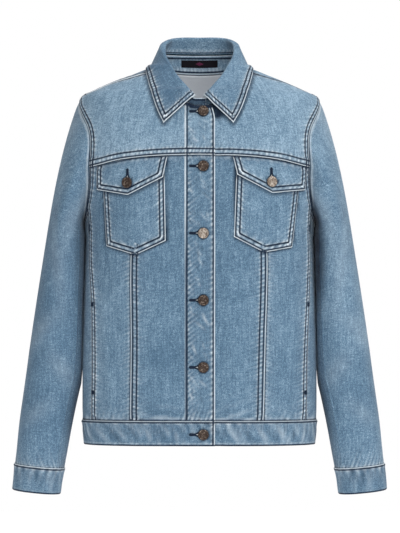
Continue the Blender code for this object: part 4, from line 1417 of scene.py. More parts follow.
@dataclass(frozen=True)
class MetalFinish(Finish):
    """Aged button metal, mottled and rubbed."""

    share: float = 0.42
    dark: Colour = linear(74, 62, 56)
    rubbed: Colour = linear(176, 160, 146)

    def paint(self, s: Shader) -> None:
        """Adds the nodes.

        Args:
            s: the material's nodes.
        """
        patches = s.noise(s.position, 340.0, 4.0, 0.65)
        share = s.math("MULTIPLY", s.math("SUBTRACT", patches, 0.72 - self.share / 2), 4.0, clamp=True)
        s.dress(s.mix(share, self.dark, self.rubbed), (patches, 0.00025, 0.5), Metallic=0.85,
                Roughness=s.math("SUBTRACT", 0.58, s.math("MULTIPLY", share, 0.2)))


@dataclass(frozen=True)
class LabelFinish(Finish):
    """Black woven ribbon."""

    ground: Colour = linear(12, 10, 16)
    light: Colour = linear(34, 30, 40)

    def paint(self, s: Shader) -> None:
        """Adds the nodes.

        Args:
            s: the material's nodes.
        """
        ribs = s.wave(s.stretched(s.position, (0, 0, 1)), 900.0)
        speck = s.noise(s.position, 1400.0)
        s.dress(s.mix(s.math("MULTIPLY", speck, 0.3), self.ground, self.light),
                (s.math("ADD", ribs, speck), 0.00015, 0.6), Roughness=0.75, Specular_IOR_Level=0.12)


@dataclass(frozen=True)
class PlainFinish(Finish):
    """One colour with a fine noise over it, for small woven marks, the buttonholes' slits, which are painted
    shade, and the floor.
    """

    colour: Colour
    rough: float = 0.8
    glow: float = 0.0

    def paint(self, s: Shader) -> None:
        """Adds the nodes.

        Args:
            s: the material's nodes.
        """
        darker = tuple(c * 0.82 for c in self.colour[:3]) + (1.0,)
        s.dress(s.mix(s.noise(s.position, 700.0), self.colour, darker), Roughness=self.rough,
                Emission_Color=self.colour, Emission_Strength=self.glow)


class Finishes:
    """Every material of the jacket, made once."""

    def __init__(self) -> None:
        """Makes them."""
        denim = DenimFinish().make("washed denim")
        # each cloth's right side and its reverse
        self.single, self.double = (denim, ReverseFinish().make("denim reverse")), (denim, denim)
        self.thread = ThreadFinish().make("navy thread")
        self.metal = MetalFinish().make("button metal")
        self.rubbed = MetalFinish(0.6, linear(128, 112, 100),
                                  linear(206, 196, 184)).make("rubbed button metal")
        self.ribbon = (LabelFinish().make("black ribbon"),) * 2
        self.mark = PlainFinish(linear(124, 34, 84)).make("magenta yarn")
        # the buttonholes' slits: a dark strip of painted shade
        self.slit_shade = PlainFinish(linear(16, 20, 32), 0.95).make("painted slit shade")
        self.eye = PlainFinish(linear(214, 218, 218), 0.9).make("frayed eye")


# ================================================================ the body
STEPS = 60  # steps in each curve that bounds a piece


def body_line(points: list[Pair], top: Array, side: int, behind: bool = False) -> Array:
    """(angle, level) up a vertical seam, from the waist seam through the points to the point top.

    Args:
        points: the seam as (|x|, z), its foot first.
        top: its upper end.
        side: RIGHT or LEFT.
        behind: whether on the form's back.

    Returns:
        STEPS + 1 pairs.
    """
    line = np.concatenate([place(points[1:], side, behind), [top]])
    foot = place(points[:1], side, behind)[0, 0]
    return spread_domain(np.concatenate([waist_curve(foot, foot, 0), line]), STEPS)


def waist_curve(first: float, last: float, steps: int = STEPS, level: float = WAIST_LEVEL) -> Array:
    """(angle, level) round the waist seam, or the hem, between two angles."""
    angle = np.linspace(first, last, steps + 1)
    return np.stack([angle, level + HEM_RISE * np.maximum(np.cos(angle), 0)], axis=1)


def seam_across(points: list[Pair], first: float, last: float, side: int, behind: bool = False) -> Array:
    """(angle, level) along a yoke seam given as (|x|, z), between two values of |x|.

    Args:
        points: the seam.
        first, last: the two values.
        side: RIGHT or LEFT.
        behind: whether on the form's back.

    Returns:
        STEPS + 1 pairs.
    """
    x, z = np.asarray(points, float).T
    at = np.linspace(first, last, STEPS + 1)
    return place(np.stack([at, smooth(x, z, np.abs(at))], axis=1), side, behind)


def yoke_seam(side: int) -> tuple[Array, Array]:
    """The front yoke seam in two pieces: above the centre panel, and above the side panel.

    Args:
        side: RIGHT or LEFT.

    Returns:
        The two pieces.
    """
    points = YOKE_SEAM + [ARMHOLE_FRONT[1]]
    princess = PRINCESS[side][-1][0]
    return (seam_across(points, -REACH[side], princess, side),
            seam_across(points, princess, points[-1][0], side))


def back_yoke_seam(side: int) -> tuple[Array, Array]:
    """The back yoke seam in two pieces: above the side panel, and on to the middle.

    Args:
        side: RIGHT or LEFT.

    Returns:
        The two pieces.
    """
    points = BACK_YOKE_SEAM + [ARMHOLE_BACK[1]]
    princess = BACK_PRINCESS[-1][0]
    return (seam_across(points, points[-1][0], princess, side, behind=True),
            seam_across(points, princess, 0, side, behind=True))


def front_lift(x: Array, side: int) -> Array:
    """How far a front stands off the form near the placket: the right one up, the left one down.

    Args:
        x: places across.
        side: RIGHT or LEFT.

    Returns:
        A height for each.
    """
    if side == RIGHT:
        return OVERLAP_LIFT * eased((x + PLACKET_INNER + OVERLAP_EASE) / OVERLAP_EASE)
    return -UNDERLAP_DROP * eased((REACH[RIGHT] + UNDERLAP_ROOM - x) / UNDERLAP_EASE)


def on_form(domain: Array) -> Array:
    """The form's points for (angle, level) pairs."""
    return form(domain[..., 0], domain[..., 1])


def panel(top: Array, start: Array, end: Array) -> Patch:
    """A panel from the waist seam up to its top edge."""
    return Patch(on_form, waist_curve(start[0, 0], end[0, 0]), top, start, end)


SIDES = ((RIGHT, "right"), (LEFT, "left"))
PLACKET_STITCH = REACH[RIGHT] + PLACKET_INNER - 2.8  # the inner stitch, in mm from the straight free edge
POCKET_TACKS = (-368.0, -505.0)  # heights of the side pockets' two ends
FLAP_LIFT = 2.2  # how far a flap stands off below its seam
ARMHOLE_SEAM = Seam(rows=(2.9, 8.2), rise=1.3, pitch=8.0, puff=0.3, pucker=0.2)
YOKE_LAP = Seam(rows=(2.3, 9.4), rise=1.4, pitch=5.4, puff=0.45, pucker=0.28)
PRINCESS_LAP = Seam(rows=(3.3, 10.1), rise=1.2, pitch=6.5, puff=0.4, pucker=0.2, fading=0.7)
SIDE_LAP = Seam(rows=(2.3, 8.9), rise=1.2, pitch=6.4, puff=0.45, pucker=0.2, fading=1.2)
WAIST_LAP = Seam(rows=(2.3,), rise=1.2, pitch=17.0, puff=0.2, pucker=0.5, reach=11.0, slant=0.9, fading=0.6)
SHOULDER_LAP = Seam(rows=(2.2, 7.6), rise=1.2, pitch=7.0, puff=0.3, pucker=0.2)
SLEEVE_LAP = Seam(rows=(2.4, 7.8), rise=1.1, pitch=8.0, puff=0.3, pucker=0.25)
CUFF_LAP = Seam(rows=(2.6,), rise=1.2, pitch=13.0, puff=0.2, pucker=0.6, reach=13.0, fading=0.8)
POCKET_EDGE = Seam(rows=(2.3, 8.6), rise=0.0, pitch=6.5, puff=0.4, pucker=0.22, reach=5.0)
COLLAR_EDGE = Seam(rows=(2.7, 8.6), rise=0.0, pitch=6.5, puff=0.4, pucker=0.15, reach=5.0, fading=1.1)
FREE_EDGE = Seam(rows=(3.0,), rise=0.0, puff=0.1, pucker=0.15, pitch=9.0, reach=4.0)
NECK_SEAM = Seam(rows=(4.8,), rise=0.0, pitch=6.0, puff=0.1, pucker=0.15, reach=4.0, fading=0.45)
TIP_X, TIP_Z, TIP_DROP = 188.0, -34.0, 2.2  # the point of the shoulder, which is rounded off
PLACKET_MARKS = (beside(3.0) + tuple(np.arange(10.5, 37, 2.0)) + tuple(np.arange(37.4, 48.5, 0.9))
                 + (50.0, 52.5, 56.0))

# soft folds: (across, up), lean, half width, half length, height
FRONT_FOLDS = {
    RIGHT: [(146, -430, 4, 9, 80, 1.3), (122, -470, -8, 8, 55, -0.9), (60, -440, 5, 8, 70, 0.9),
            (80, -350, -10, 9, 45, -0.8), (128, -345, 14, 7, 35, 0.9),
            (150, -330, -6, 6, 40, -0.8), (88, -500, 24, 7, 30, 0.9), (40, -330, 30, 7, 28, 0.7),
            (70, -525, -30, 6, 20, 0.7), (138, -520, -20, 8, 26, 0.9)],
    LEFT: [(150, -400, -3, 9, 90, 1.3), (130, -455, 9, 8, 60, -1.0), (52, -420, -6, 8, 75, 0.9),
           (84, -375, 12, 8, 40, -0.8), (118, -340, -16, 7, 36, 0.8),
           (146, -500, 18, 7, 35, -0.8), (76, -505, -22, 7, 30, 0.9), (40, -350, -28, 7, 26, 0.7),
           (60, -530, 34, 6, 18, 0.7), (122, -525, 16, 8, 24, 0.8)]}
SIDE_FOLDS = [(-10, -330, 8, 10, 70, 1.6), (20, -400, -8, 9, 80, -1.2), (-26, -450, 5, 9, 60, 1.2),
              (34, -480, -12, 8, 45, 1.0), (4, -510, 14, 9, 30, -1.0)]
BACK_FOLDS = [(132, -250, 10, 9, 60, 1.4), (150, -330, -6, 8, 70, -1.1), (118, -420, 6, 9, 70, 1.1),
              (140, -480, -14, 8, 40, 0.9), (104, -200, 24, 7, 36, 0.9)]
BACK_CENTRE_FOLDS = [(-42, -300, 5, 10, 90, 1.2), (30, -380, -6, 10, 100, -1.0),
                     (56, -260, -12, 8, 60, 1.1), (-20, -470, 10, 9, 50, 1.0), (18, -210, 20, 8, 40, 0.8),
                     (-60, -190, -26, 7, 36, 0.8)]
YOKE_FOLDS = [(96, -70, 34, 9, 34, 1.0), (138, -76, 14, 8, 36, 1.2), (120, -110, 40, 7, 26, -0.7),
              (66, -104, 20, 7, 24, 0.7)]
BACK_YOKE_FOLDS = [(-84, -80, 40, 9, 36, 1.0), (78, -70, -38, 9, 34, 1.1), (0, -60, 70, 7, 36, 0.8),
                   (-130, -96, 14, 8, 30, 1.0), (128, -92, -18, 8, 32, -0.9)]
COLLAR_FOLDS = [(-112, -10, -24, 7, 24, 0.5), (96, -30, 24, 6, 22, 0.5)]


def lower_tip(cloth: Cloth) -> None:
    """Rounds the point of the shoulder."""
    gap = np.hypot(np.abs(cloth.x) - TIP_X, cloth.z - TIP_Z)
    cloth.lift -= TIP_DROP * bell(gap, 15)


def patch_edge(corners: list[Pair], side: int) -> Array:
    """Points along the sides and the lower edge of a pocket or flap."""
    ends = np.asarray(corners[:TOP_MIDDLE], float)
    return form(*place(np.concatenate([np.linspace(*pair, 40) for pair in zip(ends, ends[1:])]), side).T)


PULL_DROPS = (-46, -41, -36, -31, -26, -21, -16, 14, 19, 24, 29, 34)  # heights of the pulls at a button


@dataclass
class Body:
    """Fronts, sides, back and waistband."""

    finishes: Finishes
    front: Thread
    back: Thread
    row_step: float = 2.4
    column_step: float = 6.5
    fronts: dict[int, Cloth] = field(default_factory=dict)

    def rows(self, low: float = 5.0, high: float = 5.0) -> Marks:
        """Marks from the waist up, closer at both ends."""
        return Marks(CLOSE, CLOSE, self.row_step, low, high)

    def ends_flush(self, cloth: Cloth, seam: Seam) -> Array:
        """A seam's rise, brought down where other pieces cover its ends."""
        return seam.rise * eased((cloth.high - 3) / 12) * eased((cloth.low - 2) / 10)

    def front_centre(self, side: int, name: str) -> None:
        """Centre panel of a front, with its placket.

        Args:
            side: RIGHT or LEFT.
            name: that side's name.
        """
        top = yoke_seam(side)[0]
        start = body_line([(-REACH[side], z) for z in EDGE_HEIGHTS], top[0], side)
        end = body_line(PRINCESS[side][:-1], top[-1], side)
        patch = panel(top, start, end)
        self.fronts[side] = cloth = self.front_cloth(f"front_centre_{name}", patch, side, PRINCESS_LAP, 6.5,
                                                     self.rows(), 11)
        cloth.fade -= 0.38
        cloth.folded(Edge.END, PRINCESS_LAP, rise=self.ends_flush(cloth, PRINCESS_LAP))
        cloth.beneath(Edge.HIGH, UNDER_YOKE)
        cloth.beneath(Edge.LOW, UNDER_FRONT_BAND)
        cloth.fold(cloth.x * side, cloth.z, FRONT_FOLDS[side])
        self.beside_pocket(cloth, side)
        self.make_front(cloth, side)
        cloth.sewn(self.front, Edge.END, PRINCESS_LAP, (0, 100))

    def front_cloth(self, name: str, patch: Patch, side: int, seam: Seam, step: float, up: Marks,
                    seed: int) -> Cloth:
        """A piece that reaches a front's free edge; the one on the right has the placket.

        Args:
            name: the piece's name.
            patch: its outline.
            side: RIGHT or LEFT.
            seam: how its other side edge is sewn.
            step: distance between its columns.
            up: its rows.
            seed: what its unevenness starts from.

        Returns:
            The piece, not yet made.
        """
        first = PLACKET_MARKS if side == RIGHT else PLAIN
        cloth = Cloth(name, patch, Marks(first, seam.marks, step), up, form_normal, seed=seed + side)
        cloth.lift += front_lift(cloth.x, side)
        if side == RIGHT:
            self.placket(cloth)
        return cloth

    def make_front(self, cloth: Cloth, side: int) -> None:
        """Makes such a piece, its wall doubled in the placket.

        Args:
            cloth: the piece.
            side: RIGHT or LEFT.
        """
        wall, shares = CLOTH, None
        if side == RIGHT:
            wall, shares = DOUBLE, np.where(cloth.x > -PLACKET_INNER, 1.0, CLOTH / DOUBLE)
        cloth.make("hung", self.finishes.single, wall, shares)

    def placket(self, cloth: Cloth) -> None:
        """The doubled strip down the right front, its edge stitch, inner stitch and creases.

        Args:
            cloth: a piece of the right front.
        """
        x, z = cloth.x, cloth.z
        inner = -PLACKET_INNER - x
        cloth.lift += (DOUBLE - CLOTH) * (1 - eased(inner / 2 + 0.5)) * 0.75
        cloth.folded(Edge.START, FREE_EDGE)
        beads = (0.6 * ripple(z + 0.8 * inner, 8.0, 31)
                 + 0.6 * ripple(z - 0.5 * inner, 13.0, 32) * ripple(z + 0.3 * inner, 5.0, 33))
        cloth.lift += 0.45 * bell(inner, 1.2) - 0.45 * bell(inner + 2.8, 0.8)
        down = eased((-180 - z) / 160)
        # a worn ridge at the placket's inner edge, fainter lower down
        cloth.wear += (1.1 - 0.8 * down) * bell(inner, 1.0)
        # painted shade in the inner stitch's groove, and lower down a darker line beside the ridge
        cloth.ink += 1.2 * bell(inner + 2.8, 1.0) + 0.7 * down * bell(inner + 1.2, 1.2)
        strip = np.exp(-above(-inner - 4) / 8) * (inner < -4)
        cloth.lift += 0.3 * strip * beads
        # worn crests of the puckers; their hollows darker, partly unworn dye and partly painted shade
        cloth.wear += 0.7 * strip * unit(beads)
        cloth.ink += 0.65 * strip * unit(-beads)
        cloth.fade -= 0.12 * (inner < 0)
        self.front.sew(cloth.line(Edge.START, PLACKET_STITCH, far=REACH[RIGHT] - x))
        for number, height in enumerate(BUTTON_Z):
            rng = np.random.default_rng(50 + number)
            pulls = [(rng.uniform(-18, 14), height + drop + rng.uniform(-5, 5), rng.uniform(-60, -12),
                      rng.uniform(0.8, 1.5), rng.uniform(3, 8), rise * rng.uniform(0.6, 1.2))
                     for drop in PULL_DROPS for rise in (0.45, -0.4)]
            cloth.fold(x, z, pulls, fading=0.8)
            self.under_button(cloth, CENTRE_FRONT_X, height)

    @staticmethod
    def under_button(cloth: Cloth, x: float, z: float) -> None:
        """Paints shadow under and just round a button, and clears the worn marks there.

        Args:
            cloth: the piece it sits on.
            x, z: the button's middle.
        """
        gap = np.hypot(cloth.x - x, cloth.z - z) + 99 * (cloth.y > 0)
        # painted shadow ring round the button
        cloth.ink += 1.1 * (1 - eased((gap - 8.2) / 2.2))
        cloth.wear *= eased((gap - 8.2) / 2.2)

    def front_side(self, side: int, name: str) -> None:
        """Side panel of a front, between the princess seam and the side pocket.

        Args:
            side: RIGHT or LEFT.
            name: that side's name.
        """
        top, arm = yoke_seam(side)[1], armhole(POCKET_END, YOKE_END, STEPS, side)
        start = body_line(PRINCESS[side][:-1], top[0], side)
        pocket = body_line(POCKET_SEAM[side], arm[0], side)
        end = joined(pocket, arm)
        patch = panel(top, start, end)
        cloth = Cloth(f"front_side_{name}", patch, Marks(PLAIN, SIDE_LAP.marks, self.column_step, 6.0),
                      self.rows(), form_normal, seed=21 + side)
        split = run_length(on_form(pocket))[-1]
        cloth.fade -= 0.3
        cloth.beneath(Edge.HIGH, UNDER_YOKE)
        cloth.folded(Edge.END, SIDE_LAP, (-20, split), rise=self.ends_flush(cloth, SIDE_LAP))
        cloth.folded(Edge.END, ARMHOLE_SEAM, (split, split + 200))
        cloth.beneath(Edge.START)
        cloth.beneath(Edge.LOW, UNDER_BAND)
        cloth.fold(cloth.x * side, cloth.z, FRONT_FOLDS[side])
        self.beside_pocket(cloth, side)
        # painted light near the armhole against the sleeve's shade, more on the left
        cloth.fade += (0.5 if side == RIGHT else 0.8) * bell(cloth.end, 16) * bell(cloth.z + 235, 40)
        cloth.make("hung", self.finishes.single)
        cloth.sewn(self.front, Edge.END, SIDE_LAP)
        self.tacks(cloth)

    @staticmethod
    def beside_pocket(cloth: Cloth, side: int) -> None:
        """A line of painted shadow just outside a pocket and its flap."""
        for corners in (POCKET[side], FLAP[side]):
            cloth.shade(patch_edge(corners, side))

    def tacks(self, cloth: Cloth) -> None:
        """Bar tacks at the two ends of the side pocket.

        Args:
            cloth: a front's side panel.
        """
        line = cloth.line(Edge.END, 4.5)
        for height in POCKET_TACKS:
            index = np.abs(line.points[:, 2] - height).argmin()
            centre, out = line.points[index] + 0.5 * line.out[index], line.out[index]
            side = direction(np.cross(out, (0.0, 0.0, 1.0)))
            step = np.arange(-5, 6)[:, None] * np.array((0, 0, 0.6))
            self.front.bars(centre + step - 3.8 * side, centre + step + 3.8 * side, out, 0.9, 0.9)

    def side_panel(self, side: int, name: str) -> None:
        """Panel under the arm.

        Args:
            side: RIGHT or LEFT.
            name: that side's name.
        """
        top = armhole(POCKET_END, SIDE_END, STEPS, side)
        start = body_line(POCKET_SEAM[side], top[0], side)
        end = body_line(BACK_SIDE_SEAM, top[-1], side, behind=True)
        patch = panel(top, start, end)
        rows = Marks(CLOSE, ARMHOLE_SEAM.marks, 3.0, 5.0)
        cloth = Cloth(f"side_panel_{name}", patch, Marks(PLAIN, SIDE_LAP.marks, 7.5, 6.0), rows,
                      form_normal, seed=31 + side)
        cloth.folded(Edge.HIGH, ARMHOLE_SEAM)
        cloth.folded(Edge.END, SIDE_LAP, rise=self.ends_flush(cloth, SIDE_LAP))
        cloth.beneath(Edge.START)
        cloth.beneath(Edge.LOW, UNDER_BAND)
        cloth.fade -= 0.3
        # a painted highlight down the side, where the body's edge shows from the front, stronger on the left
        cloth.wear += (0.15 if side == RIGHT else 0.5) * bell(cloth.y, 7.0)
        cloth.lift += 2.0 * bell(cloth.z + 248, 12)
        cloth.fold(cloth.y, cloth.z, SIDE_FOLDS)
        cloth.make("hung", self.finishes.single)
        cloth.sewn(self.back, Edge.HIGH, ARMHOLE_SEAM)
        cloth.sewn(self.back, Edge.END, SIDE_LAP, (0, 4))

    def back_side(self, side: int, name: str) -> None:
        """Side panel of the back.

        Args:
            side: RIGHT or LEFT.
            name: that side's name.
        """
        arm, top = armhole(SIDE_END, BACK_YOKE_END, STEPS, side), back_yoke_seam(side)[0]
        seam = body_line(BACK_SIDE_SEAM, arm[0], side, behind=True)
        split = run_length(on_form(seam))[-1]
        start = joined(seam, arm)
        end = body_line(BACK_PRINCESS[:-1], top[-1], side, behind=True)
        patch = panel(top, start, end)
        cloth = Cloth(f"back_side_{name}", patch,
                      Marks(ARMHOLE_SEAM.marks, PLAIN, 7.0, 6.0, 6.0, part_first=(-100, split)),
                      Marks(PLAIN, PLAIN, 2.8, 5.0, 5.0), form_normal, seed=41 + side)
        cloth.folded(Edge.START, ARMHOLE_SEAM, (split, split + 200))
        cloth.beneath(Edge.START, part=(-20, split))
        cloth.beneath(Edge.HIGH, UNDER_YOKE)
        cloth.beneath(Edge.END)
        cloth.beneath(Edge.LOW, UNDER_BAND)
        cloth.fade -= 0.25
        cloth.fold(cloth.x * side, cloth.z, BACK_FOLDS)
        cloth.make("hung", self.finishes.single)
        cloth.sewn(self.back, Edge.START, ARMHOLE_SEAM, (0, 0), (split, split + 200))

    def back_centre(self) -> None:
        """Centre panel of the back."""
        top = np.concatenate([back_yoke_seam(RIGHT)[1],
                              (back_yoke_seam(LEFT)[1] - (2 * math.pi, 0))[-2::-1]])
        start = body_line(BACK_PRINCESS[:-1], top[0], RIGHT, behind=True)
        end = body_line(BACK_PRINCESS[:-1], back_yoke_seam(LEFT)[1][0], LEFT, behind=True)
        end = end - (2 * math.pi, 0)
        patch = panel(top, start, end)
        edge = PRINCESS_LAP.marks
        cloth = Cloth("back_centre", patch, Marks(edge, edge, 7.0), Marks(PLAIN, PLAIN, 2.8, 5.0, 5.0),
                      form_normal, seed=51)
        for edge in (Edge.START, Edge.END):
            cloth.folded(edge, PRINCESS_LAP, rise=self.ends_flush(cloth, PRINCESS_LAP))
        cloth.beneath(Edge.HIGH, UNDER_YOKE)
        cloth.beneath(Edge.LOW, UNDER_BAND)
        cloth.fade -= 0.2
        cloth.fold(cloth.x, cloth.z, BACK_FOLDS + BACK_CENTRE_FOLDS)
        cloth.make("hung", self.finishes.single)
        for edge in (Edge.START, Edge.END):
            cloth.sewn(self.back, edge, PRINCESS_LAP, (0, 3))

    def waistband(self) -> None:
        """Waistband from the right front's free edge round the back to the left front's."""
        first = place([(REACH[RIGHT], WAIST_Z)], LEFT)[0, 0]
        last = place([(REACH[LEFT], WAIST_Z)], RIGHT)[0, 0] - 2 * math.pi
        low, high = waist_curve(first, last, 6 * STEPS, 0.0), waist_curve(first, last, 6 * STEPS)
        upright = np.linspace(0, 1, 5)[:, None]
        patch = Patch(on_form, low, high, low[0] * (1 - upright) + high[0] * upright,
                      low[-1] * (1 - upright) + high[-1] * upright)
        up = Marks(TURNED_EDGE, beside(2.9), 3.0)
        cloth = Cloth("waistband", patch, Marks(beside(3.0), PLAIN, 2.3), up, form_normal, CLOTH + 1.0, 61)
        near = cloth.start < 200
        lift = np.where(near, front_lift(cloth.x, RIGHT), 0)
        ends = cloth.end < 200
        cloth.lift += np.where(ends, front_lift(cloth.x, LEFT) * 1.1, lift)
        cloth.folded(Edge.HIGH, WAIST_LAP, rise=0.5)
        cloth.folded(Edge.START, FREE_EDGE)
        low, along = cloth.low, cloth.start
        uneven = 0.35 + 0.65 * unit(ripple(along, 90.0, 62))
        slant = along - 0.5 * low - 5 * np.sin(low / 9 + along / 41)
        broad = (ripple(slant, 15.0, 63) * uneven * np.sin(math.pi * unit(low / 44))
                 + 0.6 * ripple(along - 1.1 * low, 37.0, 65) * bell(low - 16, 14))
        fine = ripple(along - 0.3 * low, 5.2, 64) * ripple(along, 33.0, 66) * bell(low - 27, 10)
        cloth.lift += 0.6 * broad + 0.25 * fine
        # worn crests; their hollows darker, partly unworn dye and partly painted shade
        cloth.wear += 0.34 * unit(broad) + 0.25 * unit(fine)
        cloth.ink += 0.5 * unit(-broad) + 0.35 * unit(-fine)
        cloth.hem(low, along)
        self.under_button(cloth, CENTRE_FRONT_X, BUTTON_Z[-1])
        cloth.fade -= 0.42
        cloth.make("hung", self.finishes.double, DOUBLE)
        self.front.sew(cloth.line(Edge.HIGH, 2.9, (3, 0)))
        self.front.sew(cloth.line(Edge.START, 3.0, (0, 3)))
        self.band = cloth

    def build(self) -> None:
        """Builds every piece of the body."""
        for side, name in SIDES:
            self.front_centre(side, name)
            self.front_side(side, name)
            self.side_panel(side, name)
            self.back_side(side, name)
        self.back_centre()
        self.waistband()


# ================================================================ yokes
def on_arch(domain: Array) -> Array:
    """The form's points for pairs of x and the angle over the shoulder."""
    return arch(domain[..., 0], domain[..., 1])


def outside_band(points: Array) -> Array:
    """Points of the neck curve moved down the form, to where the yokes meet the neckband.

    Args:
        points: the neck curve.

    Returns:
        The yokes' edge.
    """
    normal = form_normal(points)
    away = (points - (0, FORM[-1, MIDDLE], 0)) * (1, 1, 0)
    away -= normal * (away * normal).sum(axis=1, keepdims=True)
    return onto_form(points + BAND_ROOM * away / np.linalg.norm(away, axis=1, keepdims=True))


def shoulder_seam(side: int) -> Array:
    """Points of the shoulder seam, from the neckband to the shoulder tip."""
    points = form(*np.concatenate([place(SHOULDER_SEAM, side), armhole(TIP, TIP, 0, side)]).T)
    return spread(np.concatenate([outside_band(points[:1]), points[1:]]), STEPS)


def neck_front(side: int) -> Array:
    """Points of the front neck curve, from the free edge to the shoulder seam."""
    start = [(-REACH[side] + (CORNER_CUT if side == RIGHT else 0), NECK_FRONT[0][1])]
    return spread(form(*place(start + NECK_FRONT[1:] + SHOULDER_SEAM[:1], side).T), STEPS)


def neck_back(side: int) -> Array:
    """Points of the back neck curve, from the shoulder seam over the ridge to the middle.

    Args:
        side: RIGHT or LEFT.

    Returns:
        STEPS + 1 points.
    """
    over = np.array([(side * math.pi / 2, level_of(NECK_RIDGE_Z))])
    domain = np.concatenate([place(SHOULDER_SEAM[:1], side), over, place(NECK_BACK, side, behind=True)])
    return spread(form(*domain.T), STEPS)


def free_edge(side: int, z: Array) -> Array:
    """Points of a front's free edge at heights z, its top corner rounded on the right front.

    Args:
        side: RIGHT or LEFT.
        z: the heights.

    Returns:
        A point for each.
    """
    cut = CORNER_CUT * unit((z - CORNER_Z) / (NECK_FRONT[0][1] - CORNER_Z)) ** 2
    reach = REACH[side] - (cut if side == RIGHT else 0)
    return form(*place(np.stack([-reach * np.ones(len(z)), z], axis=1), side).T)


@dataclass
class Yokes:
    """The two front yokes and the back yoke."""

    finishes: Finishes
    body: Body
    collar_edge: Array
    step: float = 2.6
    cloths: dict[int, Cloth] = field(default_factory=dict)

    def front(self, side: int, name: str) -> None:
        """A front yoke.

        Args:
            side: RIGHT or LEFT.
            name: that side's name.
        """
        low = form(*joined(*yoke_seam(side)).T)
        neck, shoulder = outside_band(neck_front(side)), shoulder_seam(side)
        high = joined(neck, shoulder)
        start = free_edge(side, np.linspace(low[0, 2], high[0, 2], STEPS + 1))
        start[-1] = high[0]
        end = form(*armhole(YOKE_END, TIP, STEPS, side).T)
        patch = Patch(on_arch, *(arch_place(edge) for edge in (low, high, start, end)))
        self.cloths[side] = cloth = self.body.front_cloth(
            f"front_yoke_{name}", patch, side, ARMHOLE_SEAM, 4.5,
            Marks(YOKE_LAP.marks, PLAIN, self.step, 0.0, 3.5), 71)
        cloth.folded(Edge.LOW, YOKE_LAP)
        cloth.folded(Edge.END, ARMHOLE_SEAM)
        cloth.beneath(Edge.HIGH, UNDER_NECK)
        x, z = cloth.x, cloth.z
        cloth.fold(x * side, z, YOKE_FOLDS)
        # painted shadow along the collar's edge
        cloth.shade(self.collar_edge, 0.7, 1.5, 4.2)
        lower_tip(cloth)
        # by the neck in front, under the collar: painted shade broken by pale specks in place of wear, and
        # painted shade along the neck edge beside the top button
        top = eased((z + 54) / 5) * (np.abs(x) < 26)
        cloth.wear *= 1 - top
        specks = unit(ripple(x + z, 4.5, 73) * ripple(x - z, 7.0, 74))
        cloth.ink += 0.8 * top * (1 - specks) + 0.7 * bell(cloth.high, 9) * bell(x + 9, 12)
        cloth.wear += 0.4 * top * specks
        # painted shadow under the collar's leaf, beside the placket's edge
        if side == LEFT:
            cloth.ink += 2.8 * bell(np.hypot(x - 27.5, z + 65), 9.5)
        high = cloth.high
        shoulder = eased((np.abs(x) - 84) / 5)
        cloth.ink += shoulder * 0.9 * bell(high - 3.2, 0.9)
        cloth.wear += shoulder * 0.4 * bell(high - 5.6, 1.2)
        # the yokes lighter, partly their own paler tone and partly painted light from above
        cloth.fade += 0.3
        self.body.make_front(cloth, side)
        cloth.sewn(self.body.front, Edge.LOW, YOKE_LAP)
        cloth.sewn(self.body.front, Edge.END, ARMHOLE_SEAM)
        if side == RIGHT:
            self.body.front.sew(cloth.line(Edge.START, 3.0))

    def back(self) -> None:
        """The back yoke, from armhole to armhole, over both shoulders."""
        low = np.concatenate([form(*joined(*back_yoke_seam(RIGHT)).T),
                              form(*joined(*back_yoke_seam(LEFT)).T)[-2::-1]])
        shoulders = [shoulder_seam(side) for side, _ in SIDES]
        necks = [outside_band(neck_back(side)) for side, _ in SIDES]
        high = joined(shoulders[0][::-1], necks[0], necks[1][::-1], shoulders[1])
        start, end = (form(*armhole(BACK_YOKE_END, ARMHOLE_STATIONS, STEPS, side).T) for side, _ in SIDES)
        patch = Patch(on_arch, *(arch_place(edge) for edge in (low, high, start, end)))
        edge = ARMHOLE_SEAM.marks
        seam = run_length(shoulders[0])[-1]
        length = run_length(high)[-1]
        cloth = Cloth("back_yoke", patch, Marks(edge, edge, 4.5),
                      Marks(YOKE_LAP.marks, SHOULDER_LAP.marks, 3.2, 0.0, 3.5,
                            part_last=(seam + 3, length - seam - 3)), form_normal, seed=81)
        cloth.folded(Edge.LOW, YOKE_LAP)
        cloth.folded(Edge.START, ARMHOLE_SEAM)
        cloth.folded(Edge.END, ARMHOLE_SEAM)
        cloth.folded(Edge.HIGH, SHOULDER_LAP, (-20, seam - 4))
        cloth.folded(Edge.HIGH, SHOULDER_LAP, (length - seam + 4, length + 20))
        cloth.beneath(Edge.HIGH, UNDER_BACK_NECK, (seam, length - seam))
        cloth.fold(cloth.x, cloth.z, BACK_YOKE_FOLDS)
        # painted shadow along the collar's edge
        cloth.shade(self.collar_edge, 0.7, 1.5, 4.2)
        lower_tip(cloth)
        cloth.fade += 0.25
        cloth.make("hung", self.finishes.single)
        cloth.sewn(self.body.back, Edge.LOW, YOKE_LAP)
        for edge in (Edge.START, Edge.END):
            cloth.sewn(self.body.back, edge, ARMHOLE_SEAM, (0, 12))
        for part in ((0, seam - 4), (length - seam + 4, length)):
            cloth.sewn(self.body.back, Edge.HIGH, SHOULDER_LAP, part=part)

    def build(self) -> None:
        """Builds the three yokes."""
        for side, name in SIDES:
            self.front(side, name)
        self.back()


# ================================================================ sleeves and cuffs
# how dark each sleeve is, the right one partly as painted shade away from the key light, the height of its
# darker elbow, how pale its top is, as painted light from above, and the painted shade on its inner
# side by the body, which on the left sleeve fades down its length
SLEEVE_TONE_AND_LIGHT = {RIGHT: (0.36, -400, 0.2, 0.4), LEFT: (0.14, -490, 0.4, None)}


